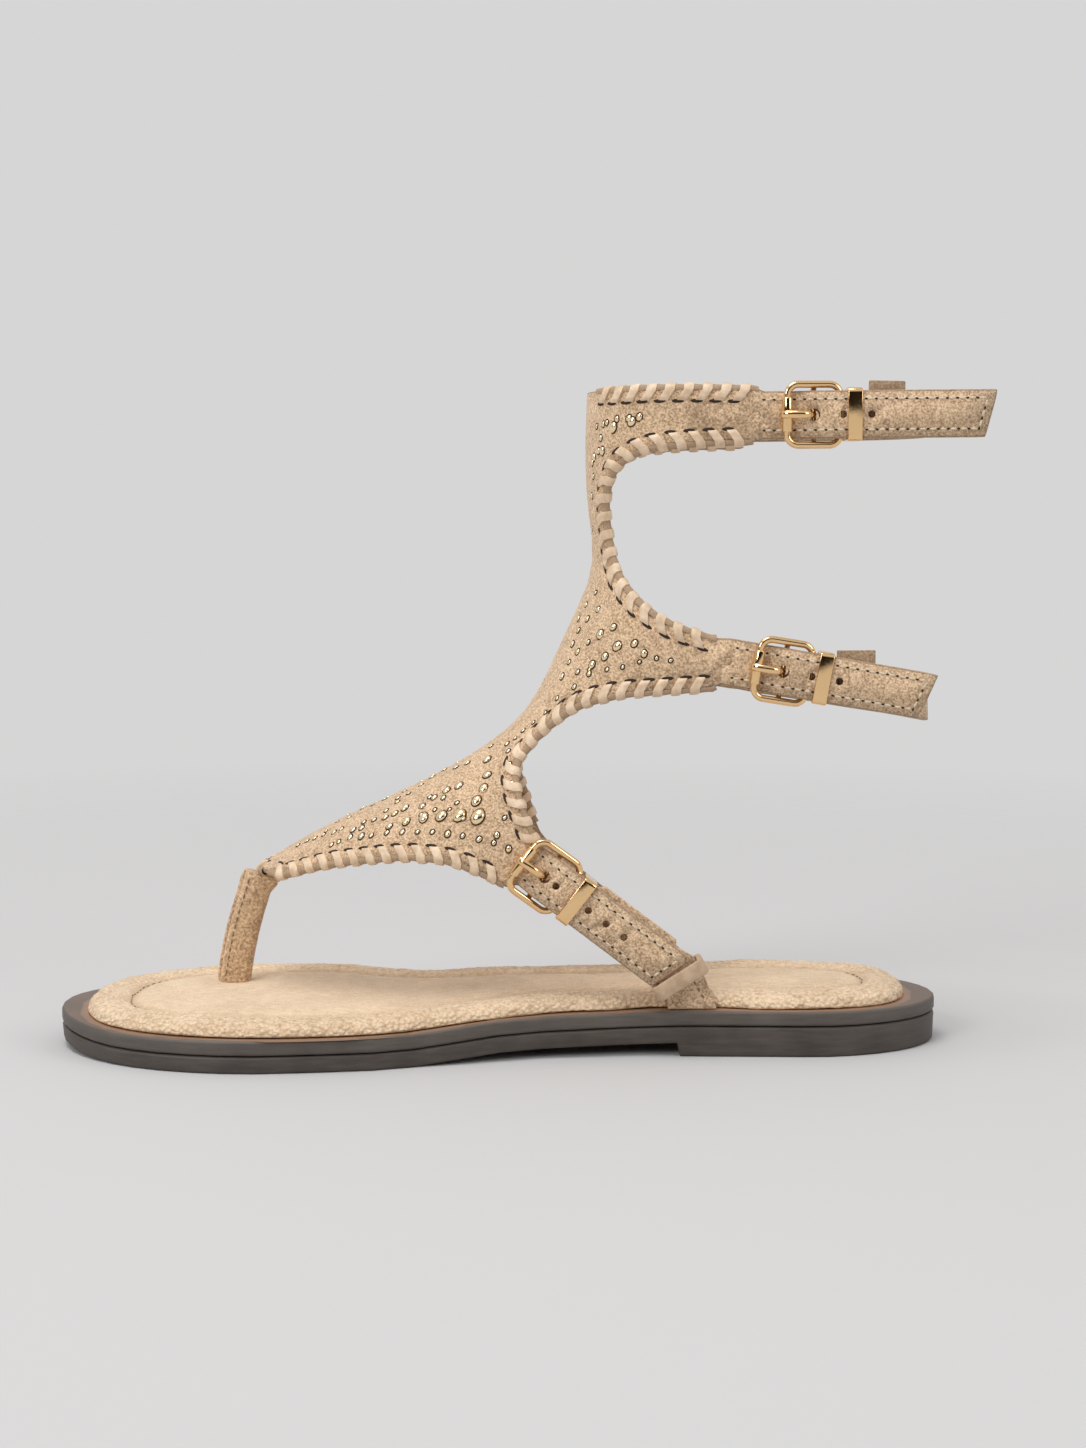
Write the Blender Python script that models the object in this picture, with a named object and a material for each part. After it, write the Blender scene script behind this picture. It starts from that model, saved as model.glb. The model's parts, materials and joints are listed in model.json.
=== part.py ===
"""Flat gladiator sandal for the left foot, in metres.

The toe points to -X, the heel to +X, the outer side of the foot to -Y and the inner side to +Y.
The origin is on the floor, in the middle of the flat tread of the heel.
The upper is one wall laid over a leg form: a rounded ridge that runs from the toe post up the shin,
with flat sides behind it. Its outline is drawn in the side view and then laid on the form.
"""

import math

import bmesh
import bpy
import numpy as np
from mathutils import Matrix, Vector

MM = 0.001

# Clearance between pieces that meet
GAP = 0.3 * MM

# Sole
SOLE_LENGTH = 260 * MM
HEEL_BEHIND_ORIGIN = 32 * MM
BALL_WIDTH = 96 * MM
TOE_ROUND_LENGTH = 61 * MM
HEEL_ROUND_LENGTH = 42 * MM
TOE_SWING = 3 * MM
HEEL_SWING = 1.5 * MM
OUTSOLE_THICKNESS = 4.9 * MM
MIDSOLE_THICKNESS = 4.3 * MM
HEEL_LIFT = 3.9 * MM
TOE_SPRING = 2.0 * MM
TOE_SPRING_LENGTH = 24 * MM
BREAST_SHARE = 0.70
BREAST_SLOPE = 0.8 * MM
EDGE_ROUND = 0.6 * MM
OUTSOLE_FOOT_INSET = 0.4 * MM
OUTSOLE_TOP_INSET = 0.1 * MM
STATIONS = 34

# Insole
TOE_RIM = 8 * MM
HEEL_RIM = 9 * MM
SIDE_RIM = 2.8 * MM
PAD_HEIGHT = 5.6 * MM
PAD_BORDER = 12 * MM

# Leg form and straps
COLLAR_HEIGHT = 191 * MM
LEG_RADIUS = 26 * MM
WALL = 2.0 * MM
STRAP_WIDTH = 12.6 * MM
RING_BEND_X = 3 * MM
TAIL_STEP = 2.5 * MM
TAIL_BUMP = 2.3 * MM
BUMP_START = -7 * MM
BUMP_LENGTH = 10.5 * MM
TIP_SHARE = -0.655
TIP_HALF_WIDTH = 6 * MM
TOE_SHIFT_LENGTH = 62 * MM
TAIL_LENGTH = 51 * MM
CUT_ALONG = 7 * MM
CUT_ACROSS = 5.8 * MM
FINE_CUT = 1.9 * MM
OUTLINE_STEP = 4 * MM
SEARCH = 4 * MM
STRAP_END = 4 * MM

# Toe post
POST_LENGTH = 9.4 * MM
POST_THICKNESS = 5.4 * MM
POST_SIDE = 16.5 * MM
POST_SIDE_TOP = 13 * MM
POST_X_SHARE = -0.692
POST_TOP_GAP = 0.3 * MM
POST_HOLE_LEAN = 0.6 * MM

# Holes and hardware
HOLE_RADIUS = 1.1 * MM
HOLE_PITCH = 8 * MM
HOLE_SIDES = 10
PRONG_HOLE_RADIUS = 1.75 * MM
PRONG_HOLE_SHIFT = -0.1 * MM
SLOT_LENGTH = 4.0 * MM
SLOT_WIDTH = 2.9 * MM
BUCKLE_LENGTH = 15.3 * MM
BUCKLE_HEIGHT = 17.0 * MM
BUCKLE_CORNER = 4.2 * MM
WIRE_RADIUS = 1.1 * MM
ROLLER_RADIUS = 1.5 * MM
ROLLER_LENGTH = 9.6 * MM
CENTRE_BAR_RADIUS = 0.8 * MM
CENTRE_BAR_DIP = 0.5 * MM
CENTRE_BAR_REACH = 0.8 * MM
PRONG_RADIUS = 0.9 * MM
PRONG_EYE_WALL = 0.45 * MM
PRONG_EYE_WIDTH = 1.4 * MM
PRONG_EYE_GAP = 0.25 * MM
PRONG_TIP = 1.7 * MM
KEEPER_PLACE = 11.3 * MM
KEEPER_WIDTH = 4.0 * MM
KEEPER_WALL = 0.9 * MM
KEEPER_CORNER = 0.5 * MM
TAIL_LOOP_WIDTH = 4.6 * MM
TAIL_LOOP_WALL = 1.5 * MM
TAIL_LOOP_GAP = 0.6 * MM
TAIL_LOOP_TURN = -20.0
TAIL_LOOP_BEYOND = 1.2 * MM
BAND_BEHIND = 0.5 * MM
TAB_PLACE = 16 * MM
TAB_LENGTH = 10 * MM
TAB_RISE = 3.2 * MM
TAB_WALL = 1.2 * MM
ANCHOR_RAISED_EDGE = 1.6 * MM
ANCHOR_EDGE_START = 14.5 * MM
ANCHOR_EDGE_END = 9 * MM
ANCHOR_EDGE_SLOPE = 1.5 * MM
ANCHOR_LOW_EDGE = 0.8 * MM
ANCHOR_ROOT_SHIFT = 3.8 * MM

# Half widths of the sole from toe to heel, as shares of half the ball width:
# (share of the sole's length, outer side, inner side)
SOLE_WIDTHS = [
    (0.00, 0.92, 1.02),
    (0.12, 0.95, 1.05),
    (0.24, 0.96, 1.04),
    (0.34, 0.91, 0.93),
    (0.45, 0.75, 0.69),
    (0.55, 0.60, 0.59),
    (0.66, 0.545, 0.585),
    (0.78, 0.575, 0.675),
    (0.88, 0.60, 0.66),
    (1.00, 0.60, 0.65),
]

# Lift of the sole sheet over the floor: (share of the sole's length, share of HEEL_LIFT)
SOLE_LIFT = [(0.00, 0.0), (0.40, 0.0), (0.505, 0.66), (0.63, 0.86), (0.72, 1.0), (1.00, 1.0)]

# Section of the insole from its foot at the rim to its raised middle:
# (inset as a share of PAD_BORDER, height as a share of PAD_HEIGHT)
PAD_SECTION = [
    (0.06, 0.0),
    (0.0, 0.38),
    (0.10, 0.76),
    (0.38, 0.99),
    (0.72, 0.93),
    (0.98, 0.72),
    (1.22, 0.88),
    (1.6, 0.93),
]

# Front line of the leg form in the side view:
# (along X as a share of SOLE_LENGTH, height as a share of COLLAR_HEIGHT)
FRONT_LINE = [
    (-0.273, 1.073),
    (-0.274, 1.000),
    (-0.276, 0.921),
    (-0.274, 0.843),
    (-0.268, 0.770),
    (-0.2715, 0.717),
    (-0.290, 0.657),
    (-0.309, 0.601),
    (-0.331, 0.540),
    (-0.360, 0.489),
    (-0.415, 0.435),
    (-0.485, 0.385),
    (-0.566, 0.331),
    (-0.647, 0.265),
    (-0.701, 0.198),
]

# Edges of the saddle panel in the side view, in the same shares, outer side
VAMP_LOWER = [
    (-0.629, 0.256),
    (-0.577, 0.278),
    (-0.531, 0.291),
    (-0.486, 0.3005),
    (-0.450, 0.302),
    (-0.419, 0.294),
    (-0.390, 0.278),
    (-0.367, 0.261),
]
VAMP_REAR = [
    (-0.332, 0.321),
    (-0.342, 0.344),
    (-0.350, 0.373),
    (-0.356, 0.398),
    (-0.359, 0.4215),
    (-0.357, 0.442),
    (-0.344, 0.466),
    (-0.319, 0.5005),
    (-0.2865, 0.5325),
    (-0.243, 0.550),
    (-0.200, 0.555),
    (-0.142, 0.560),
]
SHIN_REAR = [
    (-0.142, 0.6325),
    (-0.178, 0.648),
    (-0.202, 0.664),
    (-0.223, 0.685),
    (-0.239, 0.712),
    (-0.250, 0.749),
    (-0.256, 0.796),
    (-0.258, 0.835),
    (-0.254, 0.869),
    (-0.241, 0.897),
    (-0.2165, 0.914),
    (-0.177, 0.9215),
    (-0.098, 0.9257),
]
COLLAR_TOP = [(-0.098, 1.001), (-0.154, 1.0025), (-0.2115, 1.002), (-0.246, 1.000)]

# Where the inner side of the panel differs, because its straps lie lower
INNER_VAMP_LOWER = VAMP_LOWER[:5] + [(-0.419, 0.288), (-0.388, 0.266)]
INNER_VAMP_REAR = ([(-0.332, 0.304), (-0.342, 0.336)] + VAMP_REAR[2:9]
                   + [(-0.243, 0.545), (-0.200, 0.543), (-0.142, 0.540)])
INNER_SHIN_REAR = [(-0.142, 0.6125), (-0.178, 0.636), (-0.202, 0.657)] + SHIN_REAR[3:]

# Straps of the outer side: buckle place (X, height shares), slope in degrees, tail length as a share
# of TAIL_LENGTH, how much the lower corner of its end falls back as a share of STRAP_WIDTH, and
# hole places from the buckle in HOLE_PITCH
STRAPS = {
    "collar": (-0.0346, 0.9636, 0.5, 1.0, 0.27, (-2, 0, 1, 2)),
    "ankle": (-0.065, 0.585, -9.8, 0.843, 0.286, (-2, 0, 1, 2)),
    "vamp": (-0.3254, 0.2764, -37.3, 0.933, 0.349, (0, 0.5, 1.95, 2.75, 3.55)),
}

# Where each tail leaves the panel, before its buckle: lower and upper edge, as shares of STRAP_WIDTH
TAIL_STARTS = {"collar": (-1.11, -1.11), "ankle": (-1.35, -1.27), "vamp": (-0.40, -0.24)}

# Middle line of the straps that go round behind the leg, unrolled: place (share of the way from the
# panel to the buckle), height over the outer strap's own middle line as a share of STRAP_WIDTH
RING_LINES = {
    "collar": [(0.0, 0.040), (0.3, 0.048), (0.55, 0.063), (0.8, 0.016), (1.0, 0.0)],
    "ankle": [(0.0, -0.341), (0.3, -0.310), (0.55, -0.159), (0.8, -0.016), (1.0, 0.0)],
}
RING_START = 3 * MM
INNER_VAMP_PLACE = (-0.3227, 0.244)
INNER_VAMP_SLOPE = -39.0
INNER_VAMP_STARTS = (-0.635, -0.317)

# Colours: (red, green, blue), roughness, metallic
FINISHES = {
    "rubber": ((0.095, 0.074, 0.062), 0.55, 0.0),
    "rim": ((0.125, 0.085, 0.062), 0.45, 0.0),
    "suede": ((0.56, 0.40, 0.24), 0.95, 0.0),
    "leather": ((0.60, 0.46, 0.31), 0.5, 0.0),
    "gold": ((0.83, 0.62, 0.33), 0.22, 1.0),
}


def smooth_line(points, steps):
    """Points along a smooth curve through the given ones (Catmull and Rom's)."""
    p = [Vector(q) for q in points]
    p = [2 * p[0] - p[1]] + p + [2 * p[-1] - p[-2]]
    line = []
    for i in range(1, len(p) - 2):
        for k in range(steps):
            t = k / steps
            line.append(
                0.5 * (2 * p[i] + (p[i + 1] - p[i - 1]) * t
                       + (2 * p[i - 1] - 5 * p[i] + 4 * p[i + 1] - p[i + 2]) * t * t
                       + (3 * p[i] - p[i - 1] - 3 * p[i + 1] + p[i + 2]) * t ** 3)
            )
    line.append(p[-2])
    return line


def smooth_step(t):
    """Rises from 0 to 1 with level ends."""
    t = min(max(t, 0.0), 1.0)
    return t * t * (3 - 2 * t)


def table_value(rows, x, column):
    """Reads a table of rows at x, smoothly between its rows."""
    for low, high in zip(rows, rows[1:]):
        if x <= high[0]:
            t = smooth_step((x - low[0]) / (high[0] - low[0]))
            linear = min(max((x - low[0]) / (high[0] - low[0]), 0.0), 1.0)
            t = 0.5 * (t + linear)
            return low[column] * (1 - t) + high[column] * t
    return rows[-1][column]


def side_view(share):
    """A point of the side view from its two shares."""
    return Vector((share[0] * SOLE_LENGTH, share[1] * COLLAR_HEIGHT))


def new_object(name, bm, finish, smooth=True):
    """Makes the finished mesh an object with its own material."""
    bmesh.ops.recalc_face_normals(bm, faces=bm.faces)
    mesh = bpy.data.meshes.new(name)
    bm.to_mesh(mesh)
    bm.free()
    if smooth:
        mesh.shade_smooth()
        mesh.set_sharp_from_angle(angle=math.radians(35))
    colour, roughness, metallic = FINISHES[finish]
    material = bpy.data.materials.new(name + "_" + finish)
    material.use_nodes = True
    shader = material.node_tree.nodes["Principled BSDF"]
    shader.inputs["Base Color"].default_value = (*colour, 1)
    shader.inputs["Roughness"].default_value = roughness
    shader.inputs["Metallic"].default_value = metallic
    mesh.materials.append(material)
    piece = bpy.data.objects.new(name, mesh)
    bpy.context.collection.objects.link(piece)
    return piece


def new_cutter(name, bm):
    """Makes a guide shape that only cuts or joins other pieces."""
    bmesh.ops.recalc_face_normals(bm, faces=bm.faces)
    mesh = bpy.data.meshes.new(name)
    bm.to_mesh(mesh)
    bm.free()
    cutter = bpy.data.objects.new(name, mesh)
    bpy.context.collection.objects.link(cutter)
    cutter.hide_render = True
    cutter.display_type = "WIRE"
    return cutter


def add_boolean(piece, cutter, operation):
    """Puts a Boolean with the cutter on the piece."""
    modifier = piece.modifiers.new(cutter.name, "BOOLEAN")
    modifier.operation = operation
    modifier.object = cutter
    modifier.solver = "EXACT"


# Sole

def sole_x(share):
    """X of a share of the sole's length, from toe to heel."""
    return HEEL_BEHIND_ORIGIN - SOLE_LENGTH * (1 - share)


def sole_share(x):
    """Share of the sole's length at X."""
    return 1 - (HEEL_BEHIND_ORIGIN - x) / SOLE_LENGTH


def sheet_lift(share):
    """Height of the sole sheet's underside over the floor."""
    spring = max(0.0, 1 - share * SOLE_LENGTH / TOE_SPRING_LENGTH)
    return HEEL_LIFT * table_value(SOLE_LIFT, share, 1) + TOE_SPRING * spring ** 2


def rim_height(share):
    """Height of the rim's top, where the insole and the straps' roots stand."""
    return sheet_lift(share) + OUTSOLE_THICKNESS + GAP + MIDSOLE_THICKNESS


def stations():
    """Shares of the length where the sole is drawn, closer together at the round ends."""
    shares = [(1 - math.cos(math.pi * k / STATIONS)) / 2 for k in range(STATIONS + 1)]
    breast_end = BREAST_SHARE + BREAST_SLOPE / SOLE_LENGTH
    clear = 0.4 / STATIONS
    shares = [s for s in shares if abs(s - BREAST_SHARE) > clear]
    return sorted(shares + [BREAST_SHARE, breast_end])


def sole_point(share, side, toe_inset, heel_inset, side_inset):
    """A point of the sole's outline, drawn in by the insets. side is -1 outer or 1 inner."""
    low = sole_x(0) + toe_inset
    high = sole_x(1) - heel_inset
    x = low + (high - low) * share
    column = 1 if side < 0 else 2
    width = BALL_WIDTH / 2 * table_value(SOLE_WIDTHS, share, column) - side_inset
    from_toe = (x - low) / (TOE_ROUND_LENGTH - toe_inset)
    from_heel = (high - x) / (HEEL_ROUND_LENGTH - heel_inset)
    for way in (from_toe, from_heel):
        if way < 1:
            width *= math.sqrt(max(0.0, 1 - (1 - way) ** 2))
    middle = -TOE_SWING + (TOE_SWING + HEEL_SWING) * share
    return x, middle + side * width


def sole_ring(bm, insets, height):
    """A closed ring of vertices round the sole, at height(share)."""
    shares = stations()
    ring = []
    for side, way in ((-1, shares), (1, shares[-2:0:-1])):
        for share in way:
            x, y = sole_point(share, side, *insets)
            ring.append(bm.verts.new((x, y, height(share))))
    return ring


def close_ring(bm, ring):
    """Fills a sole ring with strips across it."""
    n = len(ring)
    for k in range(n // 2):
        corners = [ring[k], ring[k + 1], ring[n - k - 1], ring[(n - k) % n]]
        faces = list(dict.fromkeys(corners))
        bm.faces.new(faces)


def sole_stack(rows):
    """A closed body from rings: (insets, height function) from bottom to top."""
    bm = bmesh.new()
    rings = [sole_ring(bm, insets, height) for insets, height in rows]
    for low, high in zip(rings, rings[1:]):
        for k in range(len(low)):
            after = (k + 1) % len(low)
            bm.faces.new([low[k], low[after], high[after], high[k]])
    close_ring(bm, rings[0])
    close_ring(bm, rings[-1])
    return bm


def even(inset):
    """The same inset all round."""
    return (inset, inset, inset)


def tread_height(share):
    """Underside of the outsole, which the heel block brings down to the floor."""
    return 0.0 if share > BREAST_SHARE + 1e-6 else sheet_lift(share)


def make_outsole():
    """Rubber sheet with its heel block."""
    top = OUTSOLE_THICKNESS
    bm = sole_stack([
        (even(EDGE_ROUND + OUTSOLE_FOOT_INSET), tread_height),
        (even(OUTSOLE_FOOT_INSET), lambda s: tread_height(s) + EDGE_ROUND),
        (even(OUTSOLE_TOP_INSET), lambda s: sheet_lift(s) + top - EDGE_ROUND),
        (even(EDGE_ROUND), lambda s: sheet_lift(s) + top),
    ])
    return new_object("outsole", bm, "rubber")


def make_midsole():
    """Upper layer of the sole, with the rim that stands out round the insole."""
    low = OUTSOLE_THICKNESS + GAP
    high = low + MIDSOLE_THICKNESS
    bm = sole_stack([
        (even(EDGE_ROUND), lambda s: sheet_lift(s) + low),
        (even(0.0), lambda s: sheet_lift(s) + low + EDGE_ROUND),
        (even(0.0), lambda s: sheet_lift(s) + high - EDGE_ROUND),
        (even(EDGE_ROUND), lambda s: sheet_lift(s) + high),
    ])
    return new_object("midsole", bm, "rim")


def make_insole():
    """Padded footbed with a round border and a pressed channel."""
    rows = []
    for across, up in PAD_SECTION:
        inset = PAD_BORDER * across
        insets = (TOE_RIM + inset, HEEL_RIM + inset, SIDE_RIM + inset)
        rows.append((insets, lambda s, up=up: rim_height(s) + GAP + PAD_HEIGHT * up))
    return new_object("insole", sole_stack(rows), "suede")


# Leg form

class FrontLine:
    """The front line of the leg form: places along it and the way to its rear."""

    def __init__(self):
        line = smooth_line([side_view(share) for share in FRONT_LINE], 16)
        self.points = np.array([tuple(p) for p in line])
        steps = np.hypot(*np.diff(self.points, axis=0).T)
        self.along = np.concatenate([[0.0], np.cumsum(steps)])
        way = np.gradient(self.points, axis=0)
        way /= np.hypot(*way.T)[:, None]
        self.rear = np.stack([-way[:, 1], way[:, 0]], axis=1)

    def at(self, s):
        """The point at length s from the top and the direction to the rear there."""
        point = Vector((np.interp(s, self.along, self.points[:, i]) for i in (0, 1)))
        rear = Vector((np.interp(s, self.along, self.rear[:, i]) for i in (0, 1)))
        return point, rear.normalized()

    def nearest(self, p):
        """Length along the line and distance from it of a point of the side view."""
        start, step = self.points[:-1], np.diff(self.points, axis=0)
        way = np.array(tuple(p)) - start
        share = np.clip((way * step).sum(1) / (step ** 2).sum(1), 0, 1)
        gap = np.hypot(*(way - step * share[:, None]).T)
        k = int(gap.argmin())
        near = self.along[k] + share[k] * (self.along[k + 1] - self.along[k])
        low, high = near - SEARCH, near + SEARCH
        for _ in range(30):
            middle = (low + high) / 2
            point, rear = self.at(middle)
            if (p - point).cross(rear) > 0:
                low = middle
            else:
                high = middle
        point, rear = self.at(low)
        return low, max(0.0, (p - point).dot(rear))


FRONT = FrontLine()
QUARTER = LEG_RADIUS * math.pi / 2
RING_RADIUS = LEG_RADIUS - TAIL_STEP / 2


def strap_axes(name):
    """The buckle's place in the side view and the directions along and across the strap."""
    x, z, slope = STRAPS[name][:3]
    angle = math.radians(slope)
    way = Vector((math.cos(angle), math.sin(angle)))
    return side_view((x, z)), way, Vector((-way.y, way.x))


def tail_size(name):
    """Length of a tail from its buckle and how much the lower corner of its end falls back."""
    length, fall = STRAPS[name][3:5]
    return length * TAIL_LENGTH, fall * STRAP_WIDTH


def strap_point(name, along, across):
    """A point of the side view from its place along and across an outer strap."""
    place, way, up = strap_axes(name)
    return place + way * along + up * across


def pattern(p, side):
    """Flat pattern coordinates of a side view point: along the front line, across from it."""
    s, back = FRONT.nearest(p)
    if back < LEG_RADIUS:
        across = LEG_RADIUS * math.acos(1 - back / LEG_RADIUS)
    else:
        across = QUARTER + back - LEG_RADIUS
    return Vector((s, side * across, 0))


def tail_rise(p):
    """How far a tail stands out where it lies over its buckle's bars."""
    for name in STRAPS:
        place, way, up = strap_axes(name)
        along = (p - place).dot(way)
        if abs((p - place).dot(up)) < 0.75 * STRAP_WIDTH and along > BUMP_START:
            return TAIL_BUMP * smooth_step((along - BUMP_START) / BUMP_LENGTH)
    return 0.0


def round_the_heel(x, out, z):
    """Bends an inner strap round behind the leg and back along the outer side."""
    past = x - RING_BEND_X
    if past <= 0:
        return Vector((x, out, z))
    middle = TAIL_STEP / 2
    radius = out - middle
    angle = past / RING_RADIUS
    if angle < math.pi:
        return Vector((RING_BEND_X + radius * math.sin(angle), middle + radius * math.cos(angle), z))
    return Vector((RING_BEND_X - (past - math.pi * RING_RADIUS), middle - radius, z))


def ring_place(x):
    """Unrolled X of a place on the stretch that comes back along the outer side."""
    return 2 * RING_BEND_X + math.pi * RING_RADIUS - x


def front_height(share):
    """Height share of the leg form's front line at a share along X, between toe and instep."""
    rows = FRONT_LINE[8:]
    return np.interp(-share, [-row[0] for row in rows], [row[1] for row in rows])


TIP_S = FRONT.nearest(side_view((TIP_SHARE, front_height(TIP_SHARE))))[0]


def toe_shift(s):
    """How far the ridge swings to the inner side on its way to the toe post."""
    return POST_SIDE_TOP * smooth_step((s - TIP_S + TOE_SHIFT_LENGTH) / TOE_SHIFT_LENGTH)


def form_point(s, across, out=0.0):
    """A point of the leg form from pattern coordinates, out from its middle surface."""
    front, rear = FRONT.at(s)
    reach = abs(across)
    if reach < QUARTER:
        turn = reach / LEG_RADIUS
        back = LEG_RADIUS - (LEG_RADIUS + out) * math.cos(turn)
        width = (LEG_RADIUS + out) * math.sin(turn)
    else:
        back = LEG_RADIUS + reach - QUARTER
        width = LEG_RADIUS + out
    p = front + rear * back
    if across < 0:
        return Vector((p.x, toe_shift(s) - width - tail_rise(p), p.y))
    return round_the_heel(p.x, toe_shift(s) + width, p.y)


# Upper

def spaced(points, step):
    """Points along a line of points, about a step apart, with both ends."""
    kept = [points[0]]
    for p in points[1:-1]:
        if (p - kept[-1]).length >= step and (p - points[-1]).length >= 0.6 * step:
            kept.append(p)
    return kept + [points[-1]]


def edge_line(shares):
    """A panel edge through its table's points."""
    return spaced(smooth_line([side_view(share) for share in shares], 12), OUTLINE_STEP)


def straight(start, end):
    """Points along a straight edge, both ends included."""
    count = max(1, round((end - start).length / (2 * OUTLINE_STEP)))
    return [start.lerp(end, k / count) for k in range(count + 1)]


def tail_outline(name):
    """Outline of a tail from its lower start round its slanted end to its upper start."""
    length, fall = tail_size(name)
    half = STRAP_WIDTH / 2
    low_start, high_start = (share * STRAP_WIDTH for share in TAIL_STARTS[name])
    low_end = strap_point(name, length - fall, -half)
    high_end = strap_point(name, length, half)
    return (straight(strap_point(name, low_start, -half), low_end)
            + straight(high_end, strap_point(name, high_start, half)))


def ring_outline(name, start_x):
    """Outline of a strap that goes round behind the leg, from its lower start to its upper one."""
    place, way, _ = strap_axes(name)
    end_x = ring_place(place.x - STRAP_END)
    count = round((end_x - start_x) / (1.6 * OUTLINE_STEP))
    middle = []
    for k in range(count + 1):
        share = k / count
        x = start_x + (end_x - start_x) * share
        seen_x = round_the_heel(x, LEG_RADIUS, 0).x
        rise = STRAP_WIDTH * table_value(RING_LINES[name], share, 1)
        z = place.y + (seen_x - place.x) * way.y / way.x + rise
        middle.append(Vector((x, z)))
    half = Vector((0, STRAP_WIDTH / 2))
    return [p - half for p in middle] + [p + half for p in reversed(middle)]


def inner_vamp_outline():
    """Outline of the inner vamp strap, from its lower start to its root on the rim and back."""
    angle = math.radians(INNER_VAMP_SLOPE)
    way = Vector((math.cos(angle), math.sin(angle)))
    up = Vector((-way.y, way.x)) * (STRAP_WIDTH / 2)
    place = side_view(INNER_VAMP_PLACE)

    low_start, high_start = (share * STRAP_WIDTH for share in INNER_VAMP_STARTS)

    def root(offset):
        x = place.x + offset.x + way.x * (place.y + offset.y - root_height(place.x)) / -way.y
        z = root_height(x)
        return Vector((place.x + offset.x + way.x * (place.y + offset.y - z) / -way.y, z))

    ends = [root(-up), root(up)]
    foot = [ends[0].lerp(ends[1], k / 6) for k in range(1, 6)]
    return (straight(place + way * low_start - up, ends[0])
            + [Vector((p.x, root_height(p.x))) for p in foot]
            + straight(ends[1], place + way * high_start + up))


def root_height(x):
    """Height of a strap's root, just over the rim."""
    return rim_height(sole_share(x)) + GAP


def outer_outline():
    """Side view outline of the outer half, from the toe tip to the top of the collar."""
    return (edge_line(VAMP_LOWER)
            + tail_outline("vamp")
            + edge_line(VAMP_REAR)
            + tail_outline("ankle")
            + edge_line(SHIN_REAR)
            + tail_outline("collar")
            + edge_line(COLLAR_TOP))


def inner_outline():
    """Side view outline of the inner half, from the toe tip to the top of the collar."""
    wing_end = side_view(SHIN_REAR[-1]).x + RING_START
    ankle_end = side_view(VAMP_REAR[-1]).x + RING_START
    return (edge_line(INNER_VAMP_LOWER)
            + inner_vamp_outline()
            + edge_line(INNER_VAMP_REAR)
            + ring_outline("ankle", ankle_end)
            + edge_line(INNER_SHIN_REAR)
            + ring_outline("collar", wing_end)
            + edge_line(COLLAR_TOP))


def hole_line(centre, length, width, way):
    """Side view line of a hole: a circle, or a slot where it is longer than wide."""
    up = Vector((-way.y, way.x))
    line = []
    for k in range(HOLE_SIDES):
        turn = 2 * math.pi * (k + 0.5) / HOLE_SIDES
        along = math.cos(turn) * width / 2 + math.copysign((length - width) / 2, math.cos(turn))
        line.append(centre + way * along + up * (math.sin(turn) * width / 2))
    return line


def upper_holes():
    """Punched holes in the tails and the prongs' slots in the straps below them, in the pattern."""
    holes = []
    for name, row in STRAPS.items():
        way = strap_axes(name)[1]
        for place in row[5]:
            radius = HOLE_RADIUS if place else PRONG_HOLE_RADIUS
            shift = 0.0 if place else PRONG_HOLE_SHIFT
            centre = strap_point(name, place * HOLE_PITCH + shift, 0)
            holes.append([pattern(p, -1) for p in hole_line(centre, 2 * radius, 2 * radius, way)])
    for name in RING_LINES:
        place = strap_axes(name)[0]
        centre = Vector((ring_place(place.x), place.y))
        slot = hole_line(centre, SLOT_LENGTH, SLOT_WIDTH, Vector((1, 0)))
        holes.append([pattern(p, 1) for p in slot])
    return holes


def cut_in_grid(bm, along, across, fine=()):
    """Cuts a flat pattern into cells, and clears the edges that aren't cell edges."""
    xs = [v.co.x for v in bm.verts]
    ys = [v.co.y for v in bm.verts]

    def cut(place, normal):
        geometry = bm.verts[:] + bm.edges[:] + bm.faces[:]
        bmesh.ops.bisect_plane(bm, geom=geometry, dist=1e-6, plane_co=place, plane_no=normal)

    for k in range(math.ceil(min(ys) / across), math.floor(max(ys) / across) + 1):
        cut((0, k * across, 0), (0, 1, 0))
    for k in range(math.ceil(min(xs) / along), math.floor(max(xs) / along) + 1):
        cut((k * along, 0, 0), (1, 0, 0))

    for place in fine:
        cut((0, place, 0), (0, 1, 0))

    def slants(edge):
        step = edge.verts[0].co - edge.verts[1].co
        return len(edge.link_faces) == 2 and abs(step.x) > 1e-6 and abs(step.y) > 1e-6

    bmesh.ops.dissolve_edges(bm, edges=[e for e in bm.edges if slants(e)], use_verts=False)
    bmesh.ops.dissolve_limit(bm, angle_limit=math.radians(1), verts=bm.verts[:], edges=[])


def fill_pattern(loops):
    """A flat mesh inside the first loop and outside the others."""
    bm = bmesh.new()
    for loop in loops:
        verts = [bm.verts.new(p) for p in loop]
        for first, second in zip(verts, verts[1:] + verts[:1]):
            bm.edges.new((first, second))
    bmesh.ops.triangle_fill(bm, use_beauty=True, use_dissolve=False, edges=bm.edges[:])
    return bm


def thicken(bm, place, low, high):
    """Makes a flat pattern a closed wall, by place(flat point, height) at two heights."""
    lower = [v for v in bm.verts]
    flat = {v: v.co.copy() for v in lower}
    faces = bm.faces[:]
    made = bmesh.ops.extrude_face_region(bm, geom=faces, use_keep_orig=True)
    upper = [v for v in made["geom"] if isinstance(v, bmesh.types.BMVert)]
    for v in upper:
        v.co = place(v.co.copy(), high)
    for v in lower:
        v.co = place(flat[v], low)


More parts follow.
